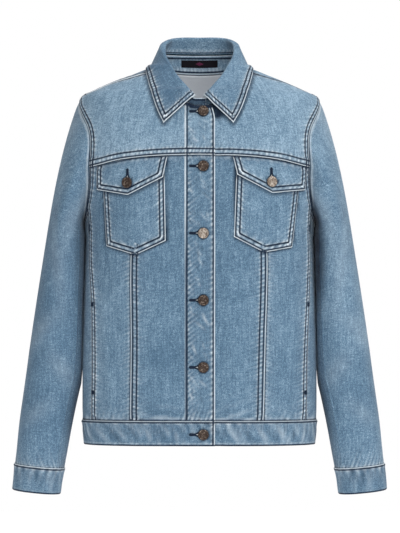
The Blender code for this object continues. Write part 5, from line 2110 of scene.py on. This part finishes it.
def sleeve_folds(z: Array, turn: Array) -> Array:
    """How far the soft folds stand out of a sleeve, by height and by the turn in degrees.

    Args:
        z, turn: places on the sleeve.

    Returns:
        A height for each.
    """
    push = np.zeros(np.broadcast_shapes(z.shape, turn.shape))
    for middle, height, half_turn, half_length, lean, depth in SLEEVE_FOLDS:
        along = (z - height) / half_length
        off = (turn - middle - lean * along + 180) % 360 - 180
        push += depth * np.exp(-(off / half_turn) ** 2 - along ** 2)
    return push


class Lattice:
    """A smooth surface given as a dense grid, read by its column and row shares."""

    def __init__(self, points: Array) -> None:
        """Keeps the grid, rows first."""
        self.points = points

    def __call__(self, domain: Array) -> Array:
        """Points at (column share, row share), running straight on past the grid's edges.

        Args:
            domain: the pairs.

        Returns:
            A point for each.
        """
        rows, columns = self.points.shape[:2]
        x, y = domain[..., 0] * (columns - 1), domain[..., 1] * (rows - 1)
        i = np.clip(np.floor(x).astype(int), 0, columns - 2)
        j = np.clip(np.floor(y).astype(int), 0, rows - 2)
        u, v = (x - i)[..., None], (y - j)[..., None]
        p = self.points
        return ((1 - v) * ((1 - u) * p[j, i] + u * p[j, i + 1])
                + v * ((1 - u) * p[j + 1, i] + u * p[j + 1, i + 1]))


def square_patch(surface: Lattice) -> Patch:
    """The whole of a lattice as a patch.

    Args:
        surface: the lattice.

    Returns:
        The patch.
    """
    at = np.linspace(0, 1, STEPS * 3 + 1)
    zero, one = np.zeros(len(at)), np.ones(len(at))
    edges = [np.stack(pair, axis=1) for pair in ((at, zero), (at, one), (zero, at), (one, at))]
    return Patch(surface, *edges)


@dataclass
class Sleeves:
    """Both sleeves, each in two pieces, and their cuffs."""

    finishes: Finishes
    thread: Thread
    clear: float = 3.4  # least distance of the sleeve's outer face from the form
    sink: float = 0.1  # the sleeve's top edge lies this much under the body's lap

    def lattice(self, side: int, first: float, last: float) -> Lattice:
        """A sleeve's outer face between two armhole stations, from the cuff up to the armhole.

        Args:
            side: RIGHT or LEFT.
            first, last: the stations.

        Returns:
            The face.
        """
        stations = np.linspace(first, last, 91)
        turn = stations * 2 * math.pi / ARMHOLE_STATIONS
        domain = np.array([armhole(at, at, 0, LEFT)[0] for at in stations % ARMHOLE_STATIONS])
        edge = form(*domain.T)
        under = eased(-np.cos(turn) * UNDERARM_WIDTH)
        start = lifted(edge, CLOTH - self.sink + UNDERARM_ROOM * under)
        across = direction(np.cross(form_normal(edge), np.gradient(edge, axis=0)))
        centre = form(np.array([math.pi / 2]), np.array([480.0]))[0]
        across *= np.sign(((edge - centre) * across).sum(axis=1, keepdims=True))
        hidden = lifted(edge + 6 * across, CLOTH - self.sink)
        rings = [ring(SLEEVE, z, turn) for z in np.linspace(SLEEVE[0, 0], SLEEVE[-1, 0], 92)]
        first_ring, second = (ring(SLEEVE, z, turn) for z in SLEEVE[:2, 0])
        length = np.linalg.norm(first_ring - start, axis=1, keepdims=True)
        leave = direction(np.stack([LEAVE_OUT + LEAVE_OUT_TURN * np.cos(turn),
                                    LEAVE_FORWARD_TURN * np.sin(turn),
                                    LEAVE_DOWN + LEAVE_DOWN_TURN * np.cos(turn)], axis=1))
        arrive = direction(second - first_ring)
        t = np.linspace(0, 1, 49)[:-1, None, None]
        cap = ((2 * t ** 3 - 3 * t ** 2 + 1) * start + (t ** 3 - 2 * t ** 2 + t) * leave * length
               + (3 * t ** 2 - 2 * t ** 3) * first_ring + (t ** 3 - t ** 2) * arrive * length)
        grid = np.concatenate([cap, rings])
        out = np.stack([np.cos(turn), -np.sin(turn), np.zeros(len(turn))], axis=1)
        shown = eased(np.linalg.norm(grid - start, axis=-1) / 30)
        grid += (sleeve_folds(grid[..., 2], np.degrees(turn)) * shown)[..., None] * out
        grid[6:] = cleared(grid[6:], self.clear)
        grid = np.concatenate([hidden[None], (hidden + start)[None] / 2, grid])
        return Lattice(grid[::-1] * (side, 1, 1))

    def piece(self, side: int, name: str, first: float, last: float, over: bool) -> None:
        """One piece of a sleeve between two armhole stations.

        Args:
            side: RIGHT or LEFT.
            name: the piece's name.
            first, last: the stations.
            over: whether its edges lie over the other piece's.
        """
        edge = SLEEVE_LAP.marks if over else PLAIN
        under = 0.0 if over else 5.0
        patch = square_patch(self.lattice(side, first, last))
        cloth = Cloth(name, patch, Marks(edge, edge, 6.0, under, under),
                      Marks(CLOSE, (0.0, 3.0, 6.0, 7.0, 8.2, 10.0, 13.0), 2.9, 4.0),
                      (lambda points: points - (side * 225, 0, points[0, 0, 2])), lift=0.0, seed=91 + side)
        share = cloth.start / (cloth.start + cloth.end)
        turn = 360 / ARMHOLE_STATIONS * (first + share * (last - first))
        shape = sleeve_folds(cloth.z, turn)
        z = cloth.z
        dark, elbow, pale, inside = SLEEVE_TONE_AND_LIGHT[side]
        # each sleeve's tone, darker at the elbow; the right sleeve darker partly as painted shade
        cloth.fade -= dark + 0.26 * bell(z - elbow, 100)
        # painted light on the sleeve's top
        cloth.fade += pale * bell(z + 120, 60)
        lower_tip(cloth)
        # a little wear on the fold ridges, and a painted highlight down the sleeve's outer side
        cloth.wear += 0.04 * above(shape) + 0.1 * bell((turn + 180) % 360 - 180, 22)
        # painted shade on the inner side by the body, and in the folds' hollows
        low = eased((-300 - cloth.z) / 130)
        inner = eased((-np.cos(np.radians(turn)) - 0.3 - 0.3 * low) / 0.45)
        cloth.ink += 0.05 * above(-shape) + inner * (1.0 - 0.5 * low if inside is None else inside)
        crown = cloth.high - 6
        waves = ripple(cloth.start + 0.3 * crown, 8.0, 93 + side)
        near = np.exp(-above(crown) / 8) * (crown > -1)
        cloth.lift += 0.25 * near * waves
        cloth.wear += near * (0.3 * unit(waves)) + 0.55 * bell(crown - 3.0, 1.3)
        # painted shadow right at the crown's edge, under the body's lap
        cloth.ink += 0.85 * bell(above(crown), 1.2)
        if over:
            ends = eased(crown / 10) * eased((cloth.low - 2) / 10)
            cloth.folded(Edge.START, SLEEVE_LAP, rise=SLEEVE_LAP.rise * ends)
            cloth.lift += 0.5 * ends * (1 - eased(cloth.end / 5)) - 0.4 * bell(cloth.end, 0.8)
            # painted shade along the end edge, where it lies over the under piece
            cloth.ink += 0.35 * bell(cloth.end, 1.0)
        else:
            cloth.beneath(Edge.END)
        cloth.beneath(Edge.LOW, UNDER_CUFF)
        cloth.make("hung", self.finishes.single)
        if over:
            cloth.sewn(self.thread, Edge.START, SLEEVE_LAP, (0, 8))

    def cuff(self, side: int, name: str) -> None:
        """A cuff: a doubled band all round the wrist, sewn over the sleeve's end.

        Args:
            side: RIGHT or LEFT.
            name: that side's name.
        """
        at = np.linspace(0, ARMHOLE_STATIONS, 181) + BACK_YOKE_END
        turn = at * 2 * math.pi / ARMHOLE_STATIONS
        heights = np.linspace(CUFF[-1, 0], CUFF[0, 0] + 1.5, 21)
        rows = [ring(CUFF, z, turn) for z in heights]
        patch = square_patch(Lattice(np.array(rows) * (side, 1, 1)))
        up = Marks(TURNED_EDGE, CUFF_LAP.marks, 3.0)
        cloth = Cloth(f"cuff_{name}", patch, Marks((0.0, 2.3), (0.0, 2.3), 2.3), up,
                      (lambda points: points - (side * 255, 0, points[0, 0, 2])), lift=0.3, seed=101 + side)
        cloth.out[:, 0] = cloth.out[:, -1] = (cloth.out[:, 0] + cloth.out[:, -1]) / 2
        low, along = cloth.low, cloth.start
        around = along / along.max() * 2 * math.pi
        cloth.folded(Edge.HIGH, replace(CUFF_LAP, pucker=0.0), rise=0.6)
        rng = np.random.default_rng(103 + side)
        broad = sum(np.sin(n * around + rng.uniform(0, 6.3) + low / 20) * w
                    for n, w in ((5, 0.25), (8, 0.3), (11, 0.3), (15, 0.25)))
        broad *= np.sin(math.pi * unit(low / 42)) ** 0.5
        short = np.sin(16 * around + 1.3 * np.sin(3 * around)) * bell(low - 36, 11)
        cloth.lift += 0.7 * broad + 0.25 * short
        # worn crests; their hollows darker, partly unworn dye and partly painted shade
        cloth.wear += 0.12 * unit(broad) + 0.08 * unit(short)
        cloth.ink += 0.25 * unit(-broad) + 0.5 * unit(-short - 0.4) + 0.12 * bell(low - 25, 6)
        cloth.hem(low, low * 0)
        cloth.fade -= 0.36
        cloth.make("hung", self.finishes.double, DOUBLE, closed=True)
        cloth.sewn(self.thread, Edge.HIGH, CUFF_LAP)

    def build(self) -> None:
        """Builds both sleeves and both cuffs."""
        for side, name in SIDES:
            self.piece(side, f"sleeve_top_{name}", BACK_YOKE_END, ARMHOLE_STATIONS + POCKET_END, True)
            self.piece(side, f"sleeve_under_{name}", POCKET_END, BACK_YOKE_END, False)
            self.cuff(side, name)


# ================================================================ collar, neckband and label
@dataclass
class Collar:
    """The neckband, the folded collar and the label."""

    finishes: Finishes
    thread: Thread
    columns: int = 60  # in each half

    def stations(self, part: slice) -> Array:
        """The collar's table as smooth curves all round, from the right front to the left front.

        Args:
            part: the columns of COLLAR.

        Returns:
            The points.
        """
        at = np.linspace(0, len(COLLAR) - 1, self.columns + 1)
        half = np.stack([smooth(np.arange(len(COLLAR)), column, at) for column in COLLAR[:, part].T], axis=1)
        return np.concatenate([half[:0:-1] * (-1, 1, 1), half])

    def placket_room(self, points: Array) -> Array:
        """Extra height that whatever lies over the top of the placket needs.

        Args:
            points: places over the placket.

        Returns:
            A height for each.
        """
        x = points[..., 0]
        share = np.where(x < 0, eased((x + PLACKET_INNER + OVERLAP_EASE) / OVERLAP_EASE),
                         eased((REACH[RIGHT] - x) / ROOM_EASE))
        return np.where(points[..., 1] < 0, (OVERLAP_LIFT + DOUBLE - CLOTH) * share, 0)

    def band_edges(self) -> tuple[Array, Array]:
        """The neckband's bottom and top edges.

        Returns:
            Bottom and top.
        """
        top = self.stations(BAND_TOP)
        halves = []
        for side, half in ((RIGHT, top[:self.columns + 1]), (LEFT, top[:self.columns - 1:-1])):
            front = neck_front(side)
            seam = joined(front[front[:, 0] * side > COLLAR[-1, 0]], neck_back(side))
            halves.append(followed(seam, half))
        return lifted(joined(halves[0], halves[1][::-1]), SEAM_GAP), top

    def band_lattice(self) -> Lattice:
        """The neckband's inner face.

        Returns:
            The face.
        """
        edges = []
        for edge in self.band_edges():
            edge[-1, 0] = BAND_END_LEFT
            edges.append(np.concatenate([edge[:1] * (0, 1, 1) + (BAND_END_RIGHT, 0, 0), edge]))
        front = edges[0][:, 1] < -70
        edges[0][:, 2] -= 2.4 * front * bell(edges[0][:, 0] - 17, 6)
        t = np.linspace(0, 1, 12)[:, None, None]
        return Lattice(edges[0] * (1 - t) + edges[1] * t)

    def neckband(self) -> None:
        """The neckband, whose inner face shows at the back and whose right end shows in front."""
        cloth = Cloth("neckband", square_patch(self.band_lattice()), Marks(beside(2.6), PLAIN, 3.0),
                      Marks((0.0, 0.8, 1.7, 2.6, 3.5, 4.2, 4.8, 5.6, 7.0),
                            (0.0, 0.7, 1.4, 2.2, 3.0, 4.0, 4.8, 5.6, 7.0), 1.8), -1, DOUBLE, 111)
        low, high = cloth.low, cloth.high
        for edge in (Edge.LOW, Edge.HIGH):
            cloth.folded(edge, NECK_SEAM)
        beads = ripple(cloth.start, 5.5, 113)
        cloth.wear += 0.7 * bell(low - 2.7, 1.1) + 0.1 * bell(high - 2.8, 1.3)
        cloth.wear += 1.2 * bell(low - 9.4, 2.2) * (0.6 + 0.4 * beads) * eased((36 - np.abs(cloth.x)) / 8)
        # painted shadow along the band's lower edge, and a darker band below its top edge
        cloth.ink += 0.8 * bell(low, 0.8) + 0.25 * bell(high - 9, 3)
        # in front the band lies under the collar: painted shade broken by pale specks replaces its marks,
        # with a pale line at its top edge
        front = eased((-cloth.y - 50) / 20)
        cloth.wear += front * (0.9 * bell(high, 1.0) - cloth.wear)
        specks = ripple(cloth.start + low, 4.5, 115) * ripple(low, 6.0, 116)
        cloth.ink += front * ((0.8 - 0.7 * unit(specks) + bell(high - 2.6, 1.1)) * eased((high - 1) / 1.2)
                              - cloth.ink)
        cloth.make("hung", self.finishes.double, DOUBLE)
        length = (cloth.start + cloth.end).max()
        for edge in (Edge.LOW, Edge.HIGH):
            self.thread.sew(cloth.line(edge, NECK_SEAM.rows[0], depth=DOUBLE + 0.05))
        self.thread.sew(cloth.line(Edge.HIGH, 2.2, part=(0, 0.2 * length)))
        self.thread.sew(cloth.line(Edge.START, 2.6, (2, 2)))

    def lattice(self) -> Lattice:
        """The visible face of the collar: up from the band, over the fold and down its leaf.

        Returns:
            The face.
        """
        bottom, top = self.band_edges()
        foot = top + BAND_GAP * direction(top - bottom)
        crest, edge = self.stations(FOLD_CREST), self.stations(LEAF_EDGE)
        share = np.linspace(1, 0, self.columns + 1)[:-1] ** TIP_SHIFT_POWER
        edge[:self.columns, 0] -= RIGHT_TIP_SHIFT * share
        up = np.array([0, 0, 1.0])
        out = direction(np.cross(up, np.gradient(crest, axis=0)))
        edge[:, 0] -= np.sign(edge[:, 0]) * 2.6 * bell(edge[:, 2] - 6, 8)
        inner, outer = crest - FOLD_RADIUS * (out + up), crest + FOLD_RADIUS * (out - up)
        roll = -out * (CORNER_ROLL * eased((crest[:, 2] - 22) / 30)
                       * eased((np.abs(crest[:, 0]) - 44) / 12))[:, None]
        rows = [foot * (1 - t) + inner * t + roll * t * t for t in np.linspace(0, 1, 9)[:-1]]
        rows += [crest - FOLD_RADIUS * up + FOLD_RADIUS * (up * math.sin(a) - out * math.cos(a))
                 + roll * (1 + math.cos(a)) / 2 for a in np.linspace(0, math.pi, 13)]
        for t in np.linspace(0, 1, 25)[1:]:
            point = outer * (1 - t) + edge * t + out * LEAF_BULGE * math.sin(math.pi * t)
            lift = LEAF_LIFT_TOP + (LEAF_LIFT_EDGE - LEAF_LIFT_TOP) * t ** 2 + self.placket_room(point)
            rows.append(cleared(point, lift))
        return Lattice(np.array(rows))

    def collar(self) -> None:
        """The collar, with two rows of stitching round its leaf."""
        cloth = Cloth("collar", square_patch(self.lattice()),
                      Marks(COLLAR_EDGE.marks, COLLAR_EDGE.marks, 3.0),
                      Marks((0.0, 1.2, 2.4, 3.6, 6.0), COLLAR_EDGE.marks, 2.6), 1, 0.0, 121)
        high = cloth.high
        leaf = high < 70
        for edge in (Edge.START, Edge.END):
            cloth.folded(edge, COLLAR_EDGE, rise=0.0, turned=(Edge.HIGH,))
        cloth.folded(Edge.HIGH, COLLAR_EDGE, rise=0.0, turned=(Edge.START, Edge.END))
        low = cloth.low
        # painted shade in the groove of the stitch row along the band
        cloth.ink += 0.7 * bell(low - 2.4, 0.9)
        waves = ripple(cloth.start, 7.0, 123)
        cloth.wear += 0.5 * bell(low - 5.0, 2.6) * (0.4 + 0.6 * waves)
        cloth.lift += 0.3 * np.exp(-low / 9) * waves - 0.7 * (1 - unit(high / 1.8)) ** 2
        cloth.lift -= 1.6 * bell(high, 7) * bell(np.abs(cloth.x) - 86, 9) * leaf
        x, y = cloth.x, cloth.y
        cloth.fade += 0.3 * ripple(x + 0.4 * y, 19.0, 125) * ripple(high - 0.3 * x, 15.0, 126)
        # darker overall, and on the right leaf's front painted shade
        cloth.fade -= 0.15 + 0.65 * leaf * eased((-x - 15) / 30) * eased((20 - y) / 60)
        cloth.fold(cloth.x, cloth.z, COLLAR_FOLDS)
        cloth.make("folded", self.finishes.double, COLLAR_WALL)
        for row in COLLAR_EDGE.rows:
            self.thread.sew(cloth.line(Edge.HIGH, row, (row, row)))
            for edge in (Edge.START, Edge.END):
                self.thread.sew(cloth.line(edge, row, (26, row)))
        self.thread.sew(cloth.line(Edge.LOW, 2.4))

    def outline(self) -> Array:
        """Points along the free edges of the collar's leaf."""
        points = self.lattice().points
        return np.concatenate([points[22:, 0], points[-1], points[22:, -1]])

    def label(self) -> None:
        """The label on the inside of the neckband, black with a small plain lozenge."""
        x = np.linspace(-LABEL_HALF_WIDTH, LABEL_HALF_WIDTH, 25)
        band = self.band_lattice().points
        near = (np.abs(band[0, :, 0]) < LABEL_HALF_WIDTH + 14) & (band[0, :, 1] > 0)
        rows = []
        for share in np.linspace(*LABEL_SHARE, 9):
            line = (band[0] * (1 - share) + band[-1] * share)[near]
            rows.append([[at, np.interp(at, line[:, 0], line[:, 1]), np.interp(at, line[:, 0], line[:, 2])]
                         for at in x])
        face = np.array(rows)
        face[..., 1] -= SEAM_GAP + 0.3
        cloth = Cloth("neck_label", square_patch(Lattice(face)), Marks(SMALL, SMALL, 2.0),
                      Marks(SMALL, SMALL, 1.5), (lambda p: p * 0 - (0, 1, 0)), LABEL_THICK * 0.6, 131)
        for edge in Edge:
            cloth.lift -= 0.25 * bell(cloth.span[edge], 0.7)
        cloth.make("laid", self.finishes.ribbon, 0.4, slot="label", rests_on=("neckband",))
        middle = tuple(size // 2 for size in cloth.z.shape)
        out = cloth.out[middle]
        self.lozenge(cloth.points[middle] + out * 0.15, out)

    def lozenge(self, centre: Array, out: Array) -> None:
        """A small plain woven lozenge.

        Args:
            centre, out: its middle and the way it faces.
        """
        side = direction(np.cross((0, 0, 1.0), out))
        up = np.cross(out, side)
        mark = Thread("label_mark", self.finishes.mark)
        share = np.linspace(-0.9, 0.9, 9)
        half = (1 - np.abs(share))[:, None] * up * 3.4 + 0.3 * up
        points = centre + share[:, None] * side * 6.4
        mark.bars(points - half, points + half, out, 1.0, 0.35)
        mark.build("label")

    def build(self) -> None:
        """Builds the neckband, the collar and the label."""
        self.neckband()
        self.collar()
        self.label()


# ================================================================ pockets and flaps
TURNED = {Edge.START: (Edge.LOW,), Edge.END: (Edge.LOW,), Edge.LOW: (Edge.START, Edge.END)}


@dataclass
class Pockets:
    """The chest pockets and their flaps."""

    finishes: Finishes
    thread: Thread
    low_row: float = 1.08  # the rows along the lower edge lie this much further in
    flaps: dict[int, Cloth] = field(default_factory=dict)

    def cloth(self, name: str, corners: list[Pair], side: int, steps: Pair, lift: float, seed: int) -> Cloth:
        """A piece given by its corners as seen from the front, folded along three edges.

        Args:
            name: its name.
            corners: the corners.
            side: RIGHT or LEFT.
            steps: distances between its columns and rows.
            lift: its height above the form.
            seed: what its unevenness starts from.

        Returns:
            The piece, not yet made.
        """
        outline = np.asarray(corners, float)

        def straight(first: int, last: int) -> Array:
            """The edge between two corners."""
            return np.linspace(outline[first], outline[last], STEPS + 1)

        def surface(flat: Array) -> Array:
            """The form's points in front of flat places."""
            return on_form(place(flat.reshape(-1, 2), side)).reshape(flat.shape[:-1] + (3,))

        patch = Patch(surface, joined(straight(INNER_LOW, POINT), straight(POINT, OUTER_LOW)),
                      spread(outline[[INNER_TOP, TOP_MIDDLE, OUTER_TOP]], STEPS),
                      straight(INNER_LOW, INNER_TOP), straight(OUTER_LOW, OUTER_TOP))
        edge = POCKET_EDGE.marks
        cloth = Cloth(name, patch, Marks(edge, edge, steps[0]), Marks(edge, PLAIN, steps[1]), form_normal,
                      lift, seed)
        for folded, neighbours in TURNED.items():
            cloth.folded(folded, POCKET_EDGE, rise=0.0, turned=neighbours)
        return cloth

    def sew(self, cloth: Cloth, stop: float) -> None:
        """Sews the rows round a piece, those up its sides to a stop below its top.

        Args:
            cloth: the piece.
            stop: how far below its top.
        """
        for row in POCKET_EDGE.rows:
            self.thread.sew(cloth.line(Edge.LOW, row * self.low_row, (row, row)))
            for edge in (Edge.START, Edge.END):
                self.thread.sew(cloth.line(edge, row, (row * self.low_row, stop)))

    def pocket(self, side: int, name: str) -> None:
        """A chest pocket, sewn down along three edges.

        Args:
            side: RIGHT or LEFT.
            name: that side's name.
        """
        cloth = self.cloth(f"chest_pocket_{name}", POCKET[side], side, (5.0, 2.6), CLOTH + 1.3, 141 + side)
        cloth.lift += 0.9 * np.prod([eased((cloth.span[edge] - 9) / 26) for edge in TURNED], axis=0)
        # painted shadow of the flap along the pocket
        cloth.shade(patch_edge(FLAP[side], side), 0.8, 3.5, 2.0)
        cloth.fade -= 0.25
        cloth.make("laid", self.finishes.single, rests_on=(f"front_centre_{name}", f"front_side_{name}"))
        self.sew(cloth, 12)

    def flap(self, side: int, name: str) -> None:
        """A pocket flap, hanging from the yoke seam.

        Args:
            side: RIGHT or LEFT.
            name: that side's name.
        """
        cloth = self.cloth(f"pocket_flap_{name}", FLAP[side], side, (4.5, 2.4), CLOTH + 1.4, 151 + side)
        self.flaps[side] = cloth
        cloth.lift += FLAP_LIFT * eased(cloth.high / 11)
        cloth.beneath(Edge.HIGH, UNDER_FLAP)
        x, z = FLAP_BUTTON[side]
        Body.under_button(cloth, side * x, z)
        cloth.fade += 0.1 * bell(cloth.high - 24, 14) - 0.34 * bell(cloth.high - 3, 9)
        cloth.fade -= 0.14 if side == RIGHT else 0.08
        cloth.make("laid", self.finishes.double, 1.8, rests_on=(f"chest_pocket_{name}",))
        self.sew(cloth, 1)

    def build(self) -> None:
        """Builds both pockets and both flaps."""
        for side, name in SIDES:
            self.pocket(side, name)
            self.flap(side, name)


# ================================================================ buttons and buttonholes
@dataclass(frozen=True)
class Fastening:
    """A button and the hole it passes through."""

    name: str
    seat: Array
    out: Array
    towards: Array  # along the buttonhole, away from the button
    rubbed: bool


@dataclass
class Buttons:
    """Eight turned metal buttons, each with a keyhole buttonhole."""

    finishes: Finishes
    body: Body
    yokes: Yokes
    pockets: Pockets
    sides: int = 40
    hole_start: float = 6.5  # all three from the button's middle, or as shares of the hole
    hole_end: float = 21.0
    eye_end: float = 0.45
    eye_spread: float = 2.1

    def fastenings(self) -> list[Fastening]:
        """Where each button sits.

        Returns:
            One for each button.
        """
        found = []
        for number, z in enumerate(BUTTON_Z, start=1):
            cloth = (self.yokes.cloths[RIGHT] if number < 3 and z > YOKE_SEAM[0][1] else self.body.band
                     if number == len(BUTTON_Z) else self.body.fronts[RIGHT])
            seat, out = cloth.nearest(CENTRE_FRONT_X, z)
            found.append(Fastening(f"button_front_{number}", seat, out, np.array((-1.0, 0, 0)), number == 3))
        for side, name in SIDES:
            x, z = FLAP_BUTTON[side]
            seat, out = self.pockets.flaps[side].nearest(side * x, z)
            found.append(Fastening(f"flap_button_{name}", seat, out, np.array((0, 0, 1.0)), side == LEFT))
        return found

    def button(self, at: Fastening) -> None:
        """A turned button: a rolled rim, a groove with a plain ring in it, and a low dome.

        Args:
            at: where it sits.
        """
        turn = np.linspace(0, 2 * math.pi, self.sides, endpoint=False)
        radius, height = np.array(BUTTON_FACE).T
        shape = np.stack([radius[:, None] * np.cos(turn), radius[:, None] * np.sin(turn),
                          height[:, None] * np.ones(self.sides)], axis=-1).reshape(-1, 3)
        index = np.arange(len(radius) * self.sides).reshape(len(radius), self.sides)
        after = np.roll(index, -1, axis=1)
        quads = np.stack([index[:-1], index[1:], after[1:], after[:-1]], axis=-1).reshape(-1, 4)
        turned = Vector(at.out).to_track_quat("Z", "Y").to_matrix()
        add_object(at.name, shape @ np.array(turned).T + at.seat + at.out * 0.2,
                   quads.tolist() + [index[0].tolist(), index[-1].tolist()[::-1]],
                   [self.finishes.rubbed if at.rubbed else self.finishes.metal], at.name)

    def buttonhole(self, at: Fastening, thread: Thread) -> None:
        """A keyhole buttonhole: thread round a slit that opens into an eye at the button's end.

        Args:
            at: the button's place.
            thread: what it is sewn with.
        """
        along = direction(at.towards - at.out * (at.towards @ at.out))
        side = np.cross(at.out, along)
        start = at.seat + along * self.hole_start + at.out * 0.15
        length = self.hole_end - self.hole_start
        share = np.linspace(0, 1, 30)
        wide = 0.9 + self.eye_spread * eased((self.eye_end - share) / self.eye_end)
        for sign in (-1, 1):
            middle = start + along * (share * length)[:, None] + side * (sign * wide)[:, None]
            half = side * 1.5
            thread.bars(middle - half, middle + half, at.out, 0.62, 0.8)
        turn = np.linspace(-1.3, 1.3, 7)[:, None]
        spoke = along * np.cos(turn) + side * np.sin(turn)
        tip = start + along * length
        thread.bars(tip + spoke * 0.2, tip + spoke * 1.6, at.out, 0.62, 0.75)
        self.holes.append((start, along, side, at.out, length))

    def strip(self, name: str, material: bpy.types.Material, first: float, last: float, half: float,
              power: int) -> None:
        """A flat strip along every buttonhole, with round ends, between two shares of its length.

        Args:
            name, material: the piece's name and finish.
            first, last: the two shares.
            half: half its width.
            power: how blunt its ends are.
        """
        points, faces = [], []
        across = np.linspace(-1, 1, 13)
        wide = half * np.sqrt(np.clip(1 - across ** power, 0.02, 1))
        for start, along, side, out, length in self.holes:
            base = len(points)
            for share, width in zip((first + last + across * (last - first)) / 2, wide):
                centre = start + along * share * length + out * 0.12
                points += [centre - side * width, centre + out * 0.1, centre + side * width]
            faces += [(low, low + 3, low + 4, low + 1)
                      for low in (base + 3 * k + j for k in range(len(across) - 1) for j in range(2))]
        add_object(name, np.array(points), faces, [material], smooth=False)

    def build(self) -> None:
        """Builds every button and buttonhole."""
        self.holes: list[tuple] = []
        thread = Thread("buttonhole_thread", self.finishes.thread)
        for at in self.fastenings():
            self.button(at)
            self.buttonhole(at, thread)
        thread.build()
        # the slits: dark strips of painted shade where the buttonholes open
        self.strip("buttonhole_slit_shade", self.finishes.slit_shade, self.eye_end, 1.0, 0.5, 8)
        self.strip("buttonhole_eyes", self.finishes.eye, 0.12, self.eye_end, 1.3, 2)


# ================================================================ studio
# name, place, target, size in m and power in W
LIGHTS = [("key", (2.1, -2.0, 2.2), (0, 0, -0.2), 1.5, 49),
          ("front", (0.3, -3.2, 1.3), (0, 0, -0.1), 1.2, 35),
          ("fill", (-1.9, -2.5, 0.3), (0, 0, -0.3), 1.6, 4), ("top", (0.2, 0.5, 2.4), (0, 0, -0.2), 1.6, 26)]


@dataclass(frozen=True)
class Studio:
    """A plain pale floor, soft light and the camera."""

    eye: tuple[float, float, float] = (0.0008, -3.6, -0.308)
    lens: float = 152.0
    floor_z: float = -0.92
    floor_half: float = 2.0
    surround: float = 0.30  # how strongly the surround lights the jacket, where it shows at 1

    def camera(self) -> None:
        """A level camera at the height of the jacket's middle."""
        data = bpy.data.cameras.new("camera")
        data.lens, data.sensor_width, data.clip_start = self.lens, 36.0, 0.05
        camera = bpy.context.scene.camera = linked("camera", data)
        camera.location, camera.rotation_euler = self.eye, (math.pi / 2, 0, 0)

    def light(self, name: str, place_at: tuple, target: tuple, size: float, power: float) -> None:
        """A square soft light that looks at a target.

        Args:
            name: its name.
            place_at, target: where it is and what it looks at.
            size: its side in m.
            power: in W.
        """
        data = bpy.data.lights.new(name, "AREA")
        data.size, data.energy = size, power
        made = linked(name, data)
        made.location = place_at
        made.rotation_euler = (Vector(target) - Vector(place_at)).to_track_quat("-Z", "Y").to_euler()

    def floor(self) -> None:
        """A wide pale floor."""
        mesh, half = bpy.data.meshes.new("floor"), self.floor_half
        mesh.from_pydata([(x * half, y * half, self.floor_z)
                          for x, y in ((-1, -1), (1, -1), (1, 1), (-1, 1))], [], [(0, 1, 2, 3)])
        mesh.materials.append(PlainFinish((0.95, 0.95, 0.95, 1.0), 0.9, 0.6).make("pale floor"))
        linked("floor", mesh)

    def surroundings(self) -> None:
        """An even white surround, which lights the jacket less than it shows."""
        world = bpy.data.worlds.new("studio")
        world.use_nodes = True
        bpy.context.scene.world = world
        nodes, links = world.node_tree.nodes, world.node_tree.links
        back = nodes["Background"]
        back.inputs["Color"].default_value = (1, 1, 1, 1)
        path = nodes.new("ShaderNodeLightPath")
        amount = nodes.new("ShaderNodeMix")
        amount.inputs[2].default_value, amount.inputs[3].default_value = self.surround, 1.0
        links.new(path.outputs["Is Camera Ray"], amount.inputs[0])
        links.new(amount.outputs[0], back.inputs["Strength"])
        bpy.context.scene.view_settings.view_transform = "Standard"

    def build(self) -> None:
        """Sets up the camera, the floor and the lights."""
        self.camera()
        self.floor()
        self.surroundings()
        for light in LIGHTS:
            self.light(*light)


def main() -> None:
    """Builds the jacket over its solids, piece by piece."""
    for old in list(bpy.data.objects):
        bpy.data.objects.remove(old)
    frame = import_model()
    log.info("%d solids", len(frame["nodes"]))
    Studio().build()
    finishes = Finishes()
    threads = [Thread(f"stitching_{name}", finishes.thread)
               for name in ("front", "back", "sleeves", "collar", "pockets")]
    front, back, arms, neck, patches = threads
    body = Body(finishes, front, back)
    body.build()
    collar = Collar(finishes, neck)
    yokes = Yokes(finishes, body, collar.outline())
    yokes.build()
    Sleeves(finishes, arms).build()
    collar.build()
    pockets = Pockets(finishes, patches)
    pockets.build()
    Buttons(finishes, body, yokes, pockets).build()
    for thread in threads:
        made = thread.build()
        log.info("%s: %d triangles", made.name, len(made.data.polygons))
    bpy.context.view_layer.update()


if __name__ == "__main__":
    logging.basicConfig(level=logging.INFO)
    main()
